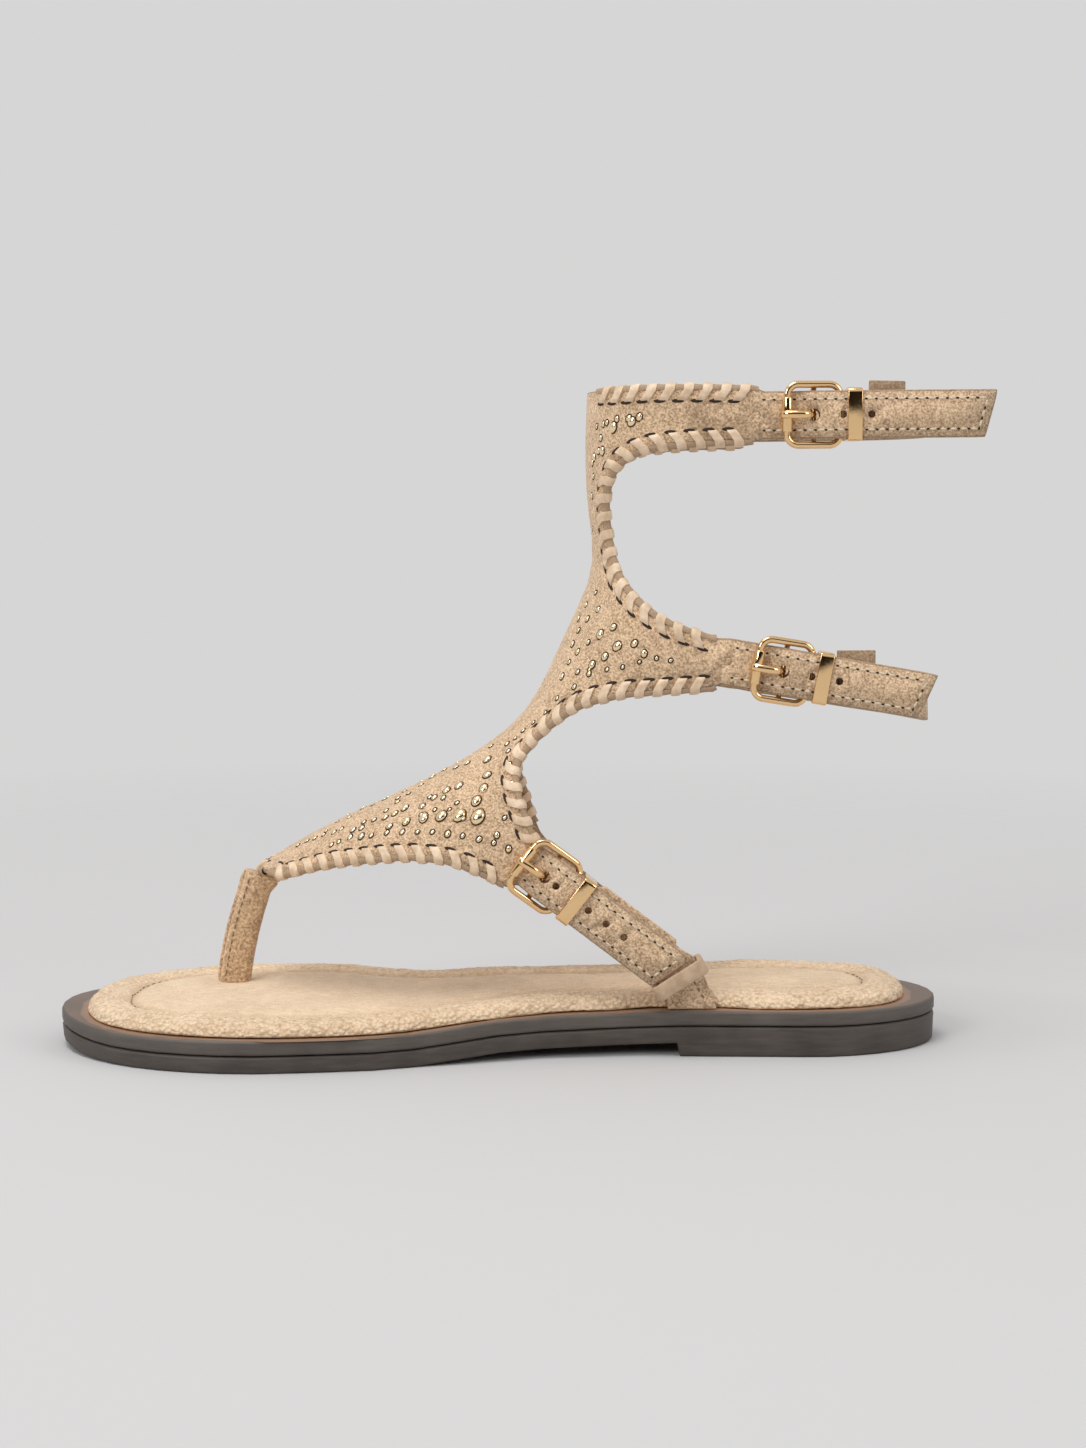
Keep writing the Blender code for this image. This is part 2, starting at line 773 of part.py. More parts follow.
def upper_pattern():
    """The whole upper laid flat, with its holes."""
    top = FRONT.nearest(side_view((FRONT_LINE[1][0], 1.0)))[0]
    outer = [pattern(p, -1) for p in outer_outline()]
    inner = [pattern(p, 1) for p in inner_outline()]
    tip = [Vector((TIP_S, across * TIP_HALF_WIDTH, 0)) for across in (0.6, 0, -0.6)]
    loop = tip + outer + [Vector((top, 0, 0))] + inner[::-1]
    return [loop] + upper_holes()


def buckle_cuts():
    """Places across the pattern where the tails bend over their buckles' bars."""
    cuts = []
    for name in STRAPS:
        start = pattern(strap_point(name, BUMP_START, 0), -1).y
        cuts += [start - k * FINE_CUT for k in range(math.ceil(1.3 * BUMP_LENGTH / FINE_CUT))]
    return cuts


def make_upper():
    """One wall: saddle panel, tails, the straps round the heel and the inner vamp strap."""
    bm = fill_pattern(upper_pattern())
    cut_in_grid(bm, CUT_ALONG, CUT_ACROSS, buckle_cuts())
    thicken(bm, lambda p, out: form_point(p.x, p.y, out), -WALL / 2, WALL / 2)
    return new_object("upper", bm, "suede")


# Swept pieces

def sweep(bm, sections, closed):
    """Joins section loops placed along a path. Each section is a list of points in space."""
    loops = [[bm.verts.new(p) for p in section] for section in sections]
    count = len(loops)
    for k in range(count if closed else count - 1):
        low, high = loops[k], loops[(k + 1) % count]
        for i in range(len(low)):
            j = (i + 1) % len(low)
            bm.faces.new([low[i], low[j], high[j], high[i]])
    if not closed:
        bm.faces.new(loops[0])
        bm.faces.new(loops[-1][::-1])


def tube(bm, path, radii, sides, closed=False):
    """A round bar along a path that lies in one plane or bends little."""
    count = len(path)
    steps = []
    for k in range(count):
        before = path[(k - 1) % count] if closed or k else path[0]
        after = path[(k + 1) % count] if closed or k < count - 1 else path[-1]
        steps.append((after - before).normalized())
    turn = steps[0].cross(steps[count // 3])
    flat = turn.normalized() if turn.length > 1e-6 else steps[0].orthogonal().normalized()
    sections = []
    for centre, step, radius in zip(path, steps, radii):
        first = (flat - step * flat.dot(step)).normalized()
        second = step.cross(first)
        ring = []
        for i in range(sides):
            angle = 2 * math.pi * (i + 0.5) / sides
            ring.append(centre + radius * (first * math.cos(angle) + second * math.sin(angle)))
        sections.append(ring)
    sweep(bm, sections, closed)


def rounded_rectangle(length, height, corner, steps):
    """Points round a rectangle with round corners, centred on the origin."""
    points = []
    for quarter, (sx, sy) in enumerate(((1, 1), (-1, 1), (-1, -1), (1, -1))):
        for k in range(steps + 1):
            angle = math.pi / 2 * (quarter + k / steps)
            points.append(Vector((
                sx * (length / 2 - corner) + corner * math.cos(angle),
                sy * (height / 2 - corner) + corner * math.sin(angle),
            )))
    return points


def loop_axes():
    """Place of the leather loop in the side view and the directions along and across it."""
    _, way, up = strap_axes("vamp")
    turn = Matrix.Rotation(math.radians(TAIL_LOOP_TURN), 2)
    length, fall = tail_size("vamp")
    reach = length - fall / 2 + TAIL_LOOP_WIDTH / 2 + TAIL_LOOP_BEYOND
    return strap_point("vamp", reach, 0), turn @ way, turn @ up


class Seat:
    """A frame of axes on a strap: along it, across it, and out from the strap below."""

    def __init__(self, place, way, up):
        self.origin = Vector((place.x, -(LEG_RADIUS - TAIL_STEP), place.y))
        self.along = Vector((way.x, 0, way.y))
        self.across = Vector((up.x, 0, up.y))
        self.out = Vector((0, -1, 0))

    def point(self, along, across, out):
        """A point in space from its place on the buckle."""
        return self.origin + self.along * along + self.across * across + self.out * out


RIGHT_BAR_OUT = WALL / 2 + GAP + WIRE_RADIUS
LEFT_BAR_OUT = TAIL_STEP + WALL / 2 + GAP + ROLLER_RADIUS
CENTRE_BAR_OUT = WALL / 2 + GAP + CENTRE_BAR_RADIUS
TAIL_TOP = TAIL_STEP + TAIL_BUMP + WALL / 2


def frame_out(along):
    """How far the frame stands out at a place along it: the free bar stands highest."""
    share = 0.5 - along / BUCKLE_LENGTH
    return RIGHT_BAR_OUT + (LEFT_BAR_OUT - RIGHT_BAR_OUT) * share


def make_buckle(name):
    """Wire frame with a roller on its free bar and a bar across its middle."""
    seat = Seat(*strap_axes(name))
    bm = bmesh.new()
    outline = rounded_rectangle(BUCKLE_LENGTH, BUCKLE_HEIGHT, BUCKLE_CORNER, 5)
    path = [seat.point(p.x, p.y, frame_out(p.x)) for p in outline]
    tube(bm, path, [WIRE_RADIUS] * len(path), 8, closed=True)
    frame = new_object("buckle_" + name, bm, "gold")

    bm = bmesh.new()
    half = ROLLER_LENGTH / 2
    roller = [seat.point(-BUCKLE_LENGTH / 2, across, LEFT_BAR_OUT) for across in (-half, half)]
    tube(bm, roller, [ROLLER_RADIUS] * 2, 12)
    add_boolean(frame, new_cutter("roller_" + name, bm), "UNION")

    bm = bmesh.new()
    rail = BUCKLE_HEIGHT / 2
    bend = rail - CENTRE_BAR_REACH
    dip = STRAP_WIDTH / 2 + CENTRE_BAR_DIP
    middle = frame_out(0)
    bar = [(-rail, middle), (-bend, middle - CENTRE_BAR_DIP), (-dip, CENTRE_BAR_OUT),
           (dip, CENTRE_BAR_OUT), (bend, middle - CENTRE_BAR_DIP), (rail, middle)]
    bar = [seat.point(0, across, out) for across, out in bar]
    tube(bm, bar, [CENTRE_BAR_RADIUS] * len(bar), 8)
    add_boolean(frame, new_cutter("centre_bar_" + name, bm), "UNION")
    return frame


def make_prong(name):
    """Prong with an eye round the middle bar, out through the tail and down on the roller."""
    seat = Seat(*strap_axes(name))
    rest = LEFT_BAR_OUT + ROLLER_RADIUS + GAP + PRONG_RADIUS
    eye_inner = CENTRE_BAR_RADIUS + PRONG_EYE_GAP
    eye_outer = eye_inner + PRONG_EYE_WALL
    bm = bmesh.new()
    free = -BUCKLE_LENGTH / 2
    way = smooth_line([
        (-0.05 * MM, CENTRE_BAR_OUT + eye_outer - 0.15 * MM),
        (-0.25 * MM, CENTRE_BAR_OUT + eye_outer + 0.9 * MM),
        (-1.3 * MM, TAIL_TOP + 0.75 * MM),
        (0.45 * free, rest - 0.25 * MM),
        (free, rest),
        (free - PRONG_TIP, rest - 0.2 * PRONG_TIP),
    ], 3)
    radii = [PRONG_RADIUS] * (len(way) - 1) + [0.6 * PRONG_RADIUS]
    tube(bm, [seat.point(p.x, 0, p.y) for p in way], radii, 8)
    prong = new_object("prong_" + name, bm, "gold")

    bm = bmesh.new()
    sections = []
    for k in range(14):
        angle = 2 * math.pi * k / 14
        ring = []
        for radius, across in ((eye_inner, -0.5), (eye_outer, -0.5), (eye_outer, 0.5), (eye_inner, 0.5)):
            ring.append(seat.point(radius * math.cos(angle), across * PRONG_EYE_WIDTH,
                                   CENTRE_BAR_OUT + radius * math.sin(angle)))
        sections.append(ring)
    sweep(bm, sections, closed=True)
    add_boolean(prong, new_cutter("prong_eye_" + name, bm), "UNION")
    return prong


def flat_loop(name, seat, place, width, wall, top, side_gap, finish):
    """A flat band that closes round the strap below and the tail over it."""
    low = -(WALL / 2 + BAND_BEHIND)
    high = top + GAP
    height = STRAP_WIDTH + 2 * side_gap
    bm = bmesh.new()
    loops = []
    for grow in (0.0, wall):
        outline = rounded_rectangle(height + 2 * grow, high - low + 2 * grow, KEEPER_CORNER + grow, 3)
        loops.append([(p.x, p.y + (high + low) / 2) for p in outline])
    sections = []
    for (across_in, out_in), (across_out, out_out) in zip(*loops):
        sections.append([
            seat.point(place - width / 2, across_in, out_in),
            seat.point(place + width / 2, across_in, out_in),
            seat.point(place + width / 2, across_out, out_out),
            seat.point(place - width / 2, across_out, out_out),
        ])
    sweep(bm, sections, closed=True)
    return new_object(name, bm, finish)


def make_keeper(name):
    """Flat metal keeper beyond the buckle."""
    seat = Seat(*strap_axes(name))
    return flat_loop("keeper_" + name, seat, KEEPER_PLACE, KEEPER_WIDTH, KEEPER_WALL, TAIL_TOP, GAP, "gold")


def make_tail_loop():
    """Leather loop that takes the end of the vamp tail."""
    return flat_loop("tail_loop", Seat(*loop_axes()), 0, TAIL_LOOP_WIDTH, TAIL_LOOP_WALL,
                     TAIL_TOP - 0.4 * MM, TAIL_LOOP_GAP, "leather")


def make_tab(name):
    """Suede tab on the strap that comes back under a tail, standing over its upper edge."""
    place, way, _ = strap_axes(name)
    start = ring_place(place.x + TAB_PLACE + TAB_LENGTH)
    seen = place.x + TAB_PLACE + TAB_LENGTH / 2
    middle = place.y + (seen - place.x) * way.y / way.x
    low, high = middle - STRAP_WIDTH * 0.3, middle + STRAP_WIDTH / 2 + TAB_RISE
    corners = [(0, low), (1, low), (1, high), (0, high)]
    bm = bmesh.new()
    bm.faces.new([bm.verts.new((start + x * TAB_LENGTH * 1.06, z, 0)) for x, z in corners])
    cut_in_grid(bm, TAB_LENGTH / 4, STRAP_WIDTH)
    base = WALL / 2 + GAP
    thicken(bm, lambda p, out: round_the_heel(p.x, LEG_RADIUS + out, p.y), base, base + TAB_WALL)
    return new_object("tab_" + name, bm, "suede")


def anchor_outline():
    """Side view outline of the strap that rises from the sole under the vamp tail."""
    half = STRAP_WIDTH / 2
    wide = half + ANCHOR_RAISED_EDGE
    low_wide = half + ANCHOR_RAISED_EDGE - ANCHOR_LOW_EDGE
    slope = ANCHOR_EDGE_SLOPE
    start, edge_start = -STRAP_END, ANCHOR_EDGE_START
    edge_end = tail_size("vamp")[0] - ANCHOR_EDGE_END
    low = [(start, -half), (edge_start, -half), (edge_start + slope, -low_wide),
           (edge_end, -low_wide), (edge_end + slope, -half)]
    high = [(edge_end + 3 * slope, half), (edge_end + 2 * slope, wide),
            (edge_start + slope, wide), (edge_start, half), (start, half)]
    centre, way, up = loop_axes()
    reach = TAIL_LOOP_WIDTH / 2 + slope / 2
    through = [centre + way * along + up * across
               for along, across in ((-reach, -half), (reach, -half), (reach, half), (-reach, half))]
    root = []
    for side in (-1, 1):
        x = centre.x + ANCHOR_ROOT_SHIFT + side * 0.56 * STRAP_WIDTH
        root.append(Vector((x, root_height(x))))
    return ([strap_point("vamp", *p) for p in low] + through[:2] + root + through[2:]
            + [strap_point("vamp", *p) for p in high])


def make_anchor_strap():
    """Strap from the sole up to the middle bar of the lowest buckle."""
    centre, way, _ = strap_axes("vamp")
    slot = hole_line(centre, SLOT_LENGTH, SLOT_WIDTH, way)
    bm = fill_pattern([[p.to_3d() for p in line] for line in (anchor_outline(), slot)])
    out = LEG_RADIUS - TAIL_STEP
    thicken(bm, lambda p, rise: Vector((p.x, -out - rise, p.y)), -WALL / 2, WALL / 2)
    return new_object("anchor_strap", bm, "suede")


# Toe post

def make_toe_post():
    """Folded strap from under the insole up to the tip of the panel."""
    bm = bmesh.new()
    front, rear = FRONT.at(TIP_S)
    foot_x = POST_X_SHARE * SOLE_LENGTH
    foot_z = rim_height(sole_share(foot_x)) + GAP
    top = front + rear * (WALL / 2 + GAP + POST_TOP_GAP)
    lean = Vector((front.x - foot_x, POST_SIDE_TOP - POST_SIDE, top.y - foot_z))
    belly = -0.10 * lean.z
    sections = []
    for k in range(7):
        share = k / 6
        x = foot_x + lean.x * share + belly * math.sin(math.pi * share) * 0.35
        centre = Vector((x, POST_SIDE + lean.y * share, foot_z + lean.z * share))
        tilt = rear.angle_signed(Vector((0, -1))) * share ** 2
        ring = []
        for p in rounded_rectangle(POST_LENGTH, POST_THICKNESS, 0.42 * POST_THICKNESS, 3):
            drop = -math.tan(tilt) * p.x if share == 1 else 0.0
            ring.append(centre + Vector((p.x, p.y, drop)))
        sections.append(ring)
    sweep(bm, sections, closed=False)
    return new_object("toe_post", bm, "suede")


def box_cutter(name, low, high):
    """A box between two corners."""
    bm = bmesh.new()
    bmesh.ops.create_cube(bm, size=1.0)
    place = Matrix.Translation((low + high) / 2) @ Matrix.Diagonal((*(high - low), 1))
    bmesh.ops.transform(bm, matrix=place, verts=bm.verts)
    return new_cutter(name, bm)


def seat_in_insole(insole):
    """Cuts the insole clear of the toe post and of the straps' roots."""
    tall = 3 * PAD_HEIGHT
    foot_x = POST_X_SHARE * SOLE_LENGTH
    clear = Vector((POST_LENGTH / 2 + 2 * GAP, POST_THICKNESS / 2 + 2 * GAP, tall))
    post = Vector((foot_x, POST_SIDE, rim_height(sole_share(foot_x))))
    shift = Vector((POST_HOLE_LEAN, 0, 0))
    add_boolean(insole, box_cutter("post_hole", post - clear, post + clear + shift), "DIFFERENCE")

    outer = anchor_outline()
    inner = inner_vamp_outline()
    loop_start = loop_axes()[0].x - STRAP_WIDTH
    loop_face = TAIL_STEP - LEG_RADIUS + WALL / 2 + BAND_BEHIND + TAIL_LOOP_WALL + GAP
    inner_start = min(p.x for p in inner if p.y < 2 * tall)
    roots = {
        "outer_root": (loop_start, max(p.x for p in outer), loop_face),
        "inner_root": (inner_start, max(p.x for p in inner), LEG_RADIUS - WALL / 2 - GAP),
    }
    for name, (start, end, face) in roots.items():
        ys = sorted((face, face + math.copysign(BALL_WIDTH / 4, face)))
        low = Vector((start - 2 * GAP, ys[0], -tall))
        high = Vector((end + 2 * GAP, ys[1], 2 * tall))
        add_boolean(insole, box_cutter(name, low, high), "DIFFERENCE")


def build_sandal():
    """Builds every piece of the sandal."""
    for old in list(bpy.data.objects):
        bpy.data.objects.remove(old, do_unlink=True)
    make_outsole()
    make_midsole()
    insole = make_insole()
    seat_in_insole(insole)
    make_toe_post()
    make_upper()
    make_anchor_strap()
    for name in STRAPS:
        make_buckle(name)
        make_prong(name)
        make_keeper(name)
    make_tail_loop()
    for name in RING_LINES:
        make_tab(name)


build_sandal()
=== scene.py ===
"""Looks of a flat gladiator sandal: suede, whip-stitched lacing, gold studs and buckles on a low sole.

Each sub-assembly is a class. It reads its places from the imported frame, builds its meshes and dresses them.
Side view places are given as X and Z in metres, with the toe to -X and the outer side to -Y.
"""

import bisect
import json
import logging
import math
from dataclasses import dataclass, field
from enum import Enum
from typing import Iterable

import bmesh
import bpy
from mathutils import Matrix, Vector, noise
from mathutils.bvhtree import BVHTree

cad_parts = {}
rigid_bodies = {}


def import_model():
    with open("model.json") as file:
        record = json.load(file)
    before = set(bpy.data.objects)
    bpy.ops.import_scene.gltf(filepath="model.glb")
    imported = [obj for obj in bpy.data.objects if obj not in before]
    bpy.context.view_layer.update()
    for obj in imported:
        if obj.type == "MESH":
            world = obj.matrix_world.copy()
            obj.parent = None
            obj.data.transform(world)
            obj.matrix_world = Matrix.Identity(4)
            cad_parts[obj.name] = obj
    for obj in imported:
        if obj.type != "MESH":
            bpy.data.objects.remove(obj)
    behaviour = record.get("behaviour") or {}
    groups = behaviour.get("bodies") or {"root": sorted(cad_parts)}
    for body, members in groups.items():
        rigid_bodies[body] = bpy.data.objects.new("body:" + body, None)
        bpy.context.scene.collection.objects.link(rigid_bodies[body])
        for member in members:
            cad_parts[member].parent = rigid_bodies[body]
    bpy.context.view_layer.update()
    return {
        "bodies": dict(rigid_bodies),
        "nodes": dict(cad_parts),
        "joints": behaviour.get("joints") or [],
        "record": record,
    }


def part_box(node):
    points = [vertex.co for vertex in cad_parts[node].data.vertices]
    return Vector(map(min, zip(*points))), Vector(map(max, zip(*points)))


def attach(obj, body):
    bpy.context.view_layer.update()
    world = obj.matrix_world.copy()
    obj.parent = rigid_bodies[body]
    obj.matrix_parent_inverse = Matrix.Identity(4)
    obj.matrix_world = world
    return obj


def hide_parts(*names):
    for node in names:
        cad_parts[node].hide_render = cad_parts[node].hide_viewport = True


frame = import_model()

log = logging.getLogger("sandal")

MM = 0.001
BODY = "root"
WALL = 2.0 * MM
STRAP_WIDTH = 12.6 * MM
SOLE_LENGTH = 260 * MM
COLLAR_HEIGHT = 191 * MM
RIM_HEIGHT = 9.3 * MM
DOWN = Vector((0, 0, -1))
# Rays start this far over the footbed, and this far beside the sandal.
ABOVE = 0.1
BESIDE = 0.2
# Blender's noise vectors start from the clock unless they are seeded.
DRIFT_SEED = 2

Colour = tuple[float, float, float]
Place = tuple[float, float]


class Side(Enum):
    """Outer or inner side of the foot."""

    OUTER = -1
    INNER = 1


class Face(Enum):
    """Outer or inner face of the suede wall."""

    OUT = "out"
    IN = "in"


# Shader maths

class Value:
    """A socket of a node tree in an expression: each operator adds its Math node."""

    def __init__(self, maker: "Nodes", socket: bpy.types.NodeSocket) -> None:
        """Wraps a socket.

        Args:
            maker: the node tree's builder.
            socket: the output that carries the value.
        """
        self.maker = maker
        self.socket = socket

    def _math(self, operation: str, first: object, second: object) -> "Value":
        """Adds a Math node and returns its output."""
        node = self.maker.node("ShaderNodeMath", {"operation": operation}, {0: first, 1: second})
        return Value(self.maker, node.outputs[0])

    def __add__(self, other: object) -> "Value":
        """Sum."""
        return self._math("ADD", self, other)

    __radd__ = __add__

    def __mul__(self, other: object) -> "Value":
        """Product."""
        return self._math("MULTIPLY", self, other)

    __rmul__ = __mul__

    def __sub__(self, other: object) -> "Value":
        """Difference."""
        return self._math("SUBTRACT", self, other)

    def __rsub__(self, other: object) -> "Value":
        """Difference with this value taken away."""
        return self._math("SUBTRACT", other, self)

    def spread(self, low: float, high: float, new_low: float = 0.0, new_high: float = 1.0) -> "Value":
        """Maps a range onto another and holds it there.

        Args:
            low: value that becomes new_low.
            high: value that becomes new_high.
            new_low: lower end of the new range.
            new_high: upper end of the new range.

        Returns:
            The mapped value.
        """
        node = self.maker.node("ShaderNodeMapRange", {"clamp": True},
                               {"Value": self, "From Min": low, "From Max": high,
                                "To Min": new_low, "To Max": new_high})
        return Value(self.maker, node.outputs[0])


class Nodes:
    """Adds nodes to one tree."""

    def __init__(self, tree: bpy.types.NodeTree) -> None:
        """Keeps the tree."""
        self.tree = tree

    def node(self, kind: str, settings: dict, inputs: dict) -> bpy.types.Node:
        """Adds a node.

        Args:
            kind: the node's type.
            settings: its properties, set before its sockets.
            inputs: values or links of its sockets by name or number.

        Returns:
            The node.
        """
        node = self.tree.nodes.new(kind)
        for key, value in settings.items():
            setattr(node, key, value)
        for key, value in inputs.items():
            self.feed(node.inputs[key], value)
        return node

    def feed(self, socket: bpy.types.NodeSocket, value: object) -> None:
        """Links or sets a socket.

        Args:
            socket: the input.
            value: a Value, a socket, a colour as three numbers, or a plain value.
        """
        if isinstance(value, Value):
            self.tree.links.new(value.socket, socket)
        elif isinstance(value, bpy.types.NodeSocket):
            self.tree.links.new(value, socket)
        elif isinstance(value, tuple) and socket.type == "RGBA":
            socket.default_value = (*value, 1.0)
        else:
            socket.default_value = value

    def mix(self, factor: object, first: object, second: object) -> Value:
        """Mixes two colours.

        Args:
            factor: share of the second colour.
            first: first colour, a tuple or a value.
            second: second colour, a tuple or a value.

        Returns:
            The mixed colour.
        """
        node = self.node("ShaderNodeMix", {"data_type": "RGBA"}, {0: factor, 6: first, 7: second})
        return Value(self, node.outputs[2])


class MaterialMaker(Nodes):
    """Builds one node material round a Principled shader."""

    def __init__(self, name: str) -> None:
        """Starts an empty material.

        Args:
            name: the material's name.
        """
        self.material = bpy.data.materials.new(name)
        self.material.use_nodes = True
        super().__init__(self.material.node_tree)
        self.shader = self.tree.nodes["Principled BSDF"]
        self.place = self.node("ShaderNodeTexCoord", {}, {}).outputs["Object"]

    def noise(self, size: float, detail: float = 2.0, stretch: tuple = (1, 1, 1)) -> Value:
        """Noise from 0 to 1.

        Args:
            size: about the width of its lumps, in metres.
            detail: how many finer layers it has.
            stretch: how much longer the lumps are along each axis.

        Returns:
            The noise value.
        """
        scale = tuple(1 / (size * s) for s in stretch)
        mapping = self.node("ShaderNodeMapping", {}, {"Vector": self.place, "Scale": scale})
        texture = self.node("ShaderNodeTexNoise", {}, {"Vector": mapping.outputs[0], "Scale": 1.0,
                                                       "Detail": detail, "Roughness": 0.6})
        return Value(self, texture.outputs["Fac"])

    def cells(self, size: float) -> Value:
        """Distance to the nearest of scattered points, from 0 to about 1.

        Args:
            size: distance between the points, in metres.

        Returns:
            The distance value.
        """
        texture = self.node("ShaderNodeTexVoronoi", {}, {"Vector": self.place, "Scale": 1 / size})
        return Value(self, texture.outputs["Distance"])

    def attribute(self, name: str) -> Value:
        """Value of a mesh attribute."""
        node = self.node("ShaderNodeAttribute", {"attribute_name": name}, {})
        return Value(self, node.outputs["Fac"])

    def bump(self, height: Value, depth: float) -> Value:
        """Turns a height into a Normal.

        Args:
            height: height from 0 to 1.
            depth: depth of the relief in metres.

        Returns:
            The normal.
        """
        node = self.node("ShaderNodeBump", {}, {"Height": height, "Distance": depth, "Strength": 1.0})
        return Value(self, node.outputs[0])

    def dress(self, **sockets: object) -> bpy.types.Material:
        """Sets the Principled shader's sockets.

        Args:
            sockets: values by the sockets' names, with underscores for the blanks.

        Returns:
            The material.
        """
        for key, value in sockets.items():
            self.feed(self.shader.inputs[key.replace("_", " ")], value)
        return self.material


# Finishes

@dataclass(frozen=True)
class Suede:
    """Napped suede: soft sheen, fine nap, lighter and darker patches.

    The tone is a blend of nap, lumps and patches, whose contrast is the range that runs from dark to light.
    """

    name: str
    light: Colour = (0.86, 0.625, 0.41)
    dark: Colour = (0.35, 0.22, 0.12)
    nap: float = 0.62 * MM
    depth: float = 0.6 * MM
    patch: float = 9 * MM
    blend: tuple = (0.72, 0.18, 0.10)
    contrast: tuple = (0.37, 0.62)
    sheen: Colour = (1.0, 0.9, 0.78)

    def make(self) -> bpy.types.Material:
        """Builds the material.

        Returns:
            The material.
        """
        maker = MaterialMaker(self.name)
        fine = maker.noise(self.nap, 3.0)
        lump = maker.noise(4 * self.nap, 2.0)
        patch = maker.noise(self.patch, 2.0)
        tone = (fine * self.blend[0] + lump * self.blend[1] + patch * self.blend[2]).spread(*self.contrast)
        colour = maker.mix(tone, self.dark, self.light)
        height = fine * 0.6 + lump * 0.4
        return maker.dress(Base_Color=colour, Roughness=0.92, Specular_IOR_Level=0.25,
                           Sheen_Weight=0.35, Sheen_Roughness=0.5, Sheen_Tint=self.sheen,
                           Normal=maker.bump(height, self.depth))


@dataclass(frozen=True)
class FleecySuede:
    """Brushed suede of the footbed: the border's nap stands in small curls."""

    name: str
    light: Colour = (0.90, 0.70, 0.49)
    dark: Colour = (0.53, 0.36, 0.215)
    # Painted shade of the sewn groove.
    groove_shade: Colour = (0.33, 0.205, 0.115)
    curl: float = 1.25 * MM
    nap: float = 0.65 * MM
    stroke: float = 1.1 * MM
    patch: float = 16 * MM
    contrast: tuple = (0.34, 0.60)
    depth: float = 0.8 * MM

    def make(self) -> bpy.types.Material:
        """Builds the material: the pad's border and groove attributes say where curls and shade go.

        Returns:
            The material.
        """
        maker = MaterialMaker(self.name)
        border = maker.attribute("border")
        groove = maker.attribute("groove")
        curl = 1 - maker.cells(self.curl)
        fine = maker.noise(self.nap, 3.0)
        stroke = maker.noise(self.stroke, 2.0, (3.0, 1.0, 1.0))
        patch = maker.noise(self.patch, 2.0)
        nap = fine * 0.55 + stroke * 0.45
        height = nap * (1 - border * 0.4) + curl * border * 0.8
        tone = (nap * 0.6 + patch * 0.2 + (curl - 0.60) * border * 0.24 + 0.105).spread(*self.contrast)
        # Painted shade: the groove attribute darkens the suede towards groove_shade inside the sewn groove.
        shaded = maker.mix(groove * 0.5, maker.mix(tone, self.dark, self.light), self.groove_shade)
        return maker.dress(Base_Color=shaded, Roughness=0.95, Specular_IOR_Level=0.2,
                           Sheen_Weight=0.4, Sheen_Roughness=0.5, Sheen_Tint=Suede.sheen,
                           Normal=maker.bump(height, self.depth))


@dataclass(frozen=True)
class SmoothLeather:
    """Smooth leather with a soft gloss and fine grain."""

    name: str
    light: Colour = (0.86, 0.68, 0.50)
    dark: Colour = (0.72, 0.53, 0.36)
    roughness: float = 0.45

    def make(self) -> bpy.types.Material:
        """Builds the material.

        Returns:
            The material.
        """
        maker = MaterialMaker(self.name)
        grain = maker.noise(0.35 * MM, 2.0)
        patch = maker.noise(3.0 * MM, 2.0)
        colour = maker.mix(patch.spread(0.35, 0.65), self.dark, self.light)
        roughness = patch.spread(0.3, 0.7, self.roughness - 0.06, self.roughness + 0.08)
        return maker.dress(Base_Color=colour, Roughness=roughness, Coat_Weight=0.12, Coat_Roughness=0.35,
                           Normal=maker.bump(grain, 0.05 * MM))


@dataclass(frozen=True)
class Gold:
    """Polished pale gold plating."""

    name: str
    colour: Colour = (0.90, 0.61, 0.315)
    roughness: float = 0.07

    def make(self) -> bpy.types.Material:
        """Builds the material.

        Returns:
            The material.
        """
        maker = MaterialMaker(self.name)
        wear = maker.noise(2.2 * MM, 3.0)
        roughness = wear.spread(0.35, 0.7, self.roughness, self.roughness + 0.08)
        return maker.dress(Base_Color=self.colour, Metallic=1.0, Roughness=roughness,
                           Normal=maker.bump(wear, 0.02 * MM))


@dataclass(frozen=True)
class SoleEdge:
    """Satin sole edge with faint rubbing along it."""

    name: str
    light: Colour = (0.090, 0.074, 0.063)
    dark: Colour = (0.052, 0.041, 0.034)

    def make(self) -> bpy.types.Material:
        """Builds the material.

        Returns:
            The material.
        """
        maker = MaterialMaker(self.name)
        streak = maker.noise(1.4 * MM, 3.0, (9.0, 9.0, 1.0))
        fine = maker.noise(0.5 * MM, 2.0)
        patch = maker.noise(14 * MM, 2.0)
        tone = (streak * 0.5 + patch * 0.4 + fine * 0.1).spread(0.36, 0.62)
        side = maker.mix(tone, self.dark, self.light)
        return maker.dress(Base_Color=side, Roughness=tone.spread(0.0, 1.0, 0.48, 0.62),
                           Specular_IOR_Level=0.45,
                           Normal=maker.bump(fine * 0.5 + streak * 0.5, 0.06 * MM))


@dataclass(frozen=True)
class Plain:
    """A quiet finish of one tone with a fine grain."""

    name: str
    colour: Colour
    roughness: float = 0.8
    grain: float = 0.4 * MM

    def make(self) -> bpy.types.Material:
        """Builds the material.

        Returns:
            The material.
        """
        maker = MaterialMaker(self.name)
        grain = maker.noise(self.grain, 2.0)
        shade = tuple(0.72 * c for c in self.colour)
        return maker.dress(Base_Color=maker.mix(grain.spread(0.35, 0.65), shade, self.colour),
                           Roughness=self.roughness, Normal=maker.bump(grain, 0.08 * MM))


@dataclass(frozen=True)
class Stain:
    """Cognac edge finish that fades over the rim."""

    name: str
    warm: Colour = (0.37, 0.20, 0.105)
    grey: Colour = (0.20, 0.145, 0.112)

    def make(self) -> bpy.types.Material:
        """Builds the material.

        Returns:
            The material.
        """
        maker = MaterialMaker(self.name)
        patch = maker.noise(6 * MM, 2.0)
        share = maker.attribute("outward") + (patch - 0.5) * 0.5
        return maker.dress(Base_Color=maker.mix(share.spread(0.15, 0.95), self.warm, self.grey),
                           Roughness=0.5)


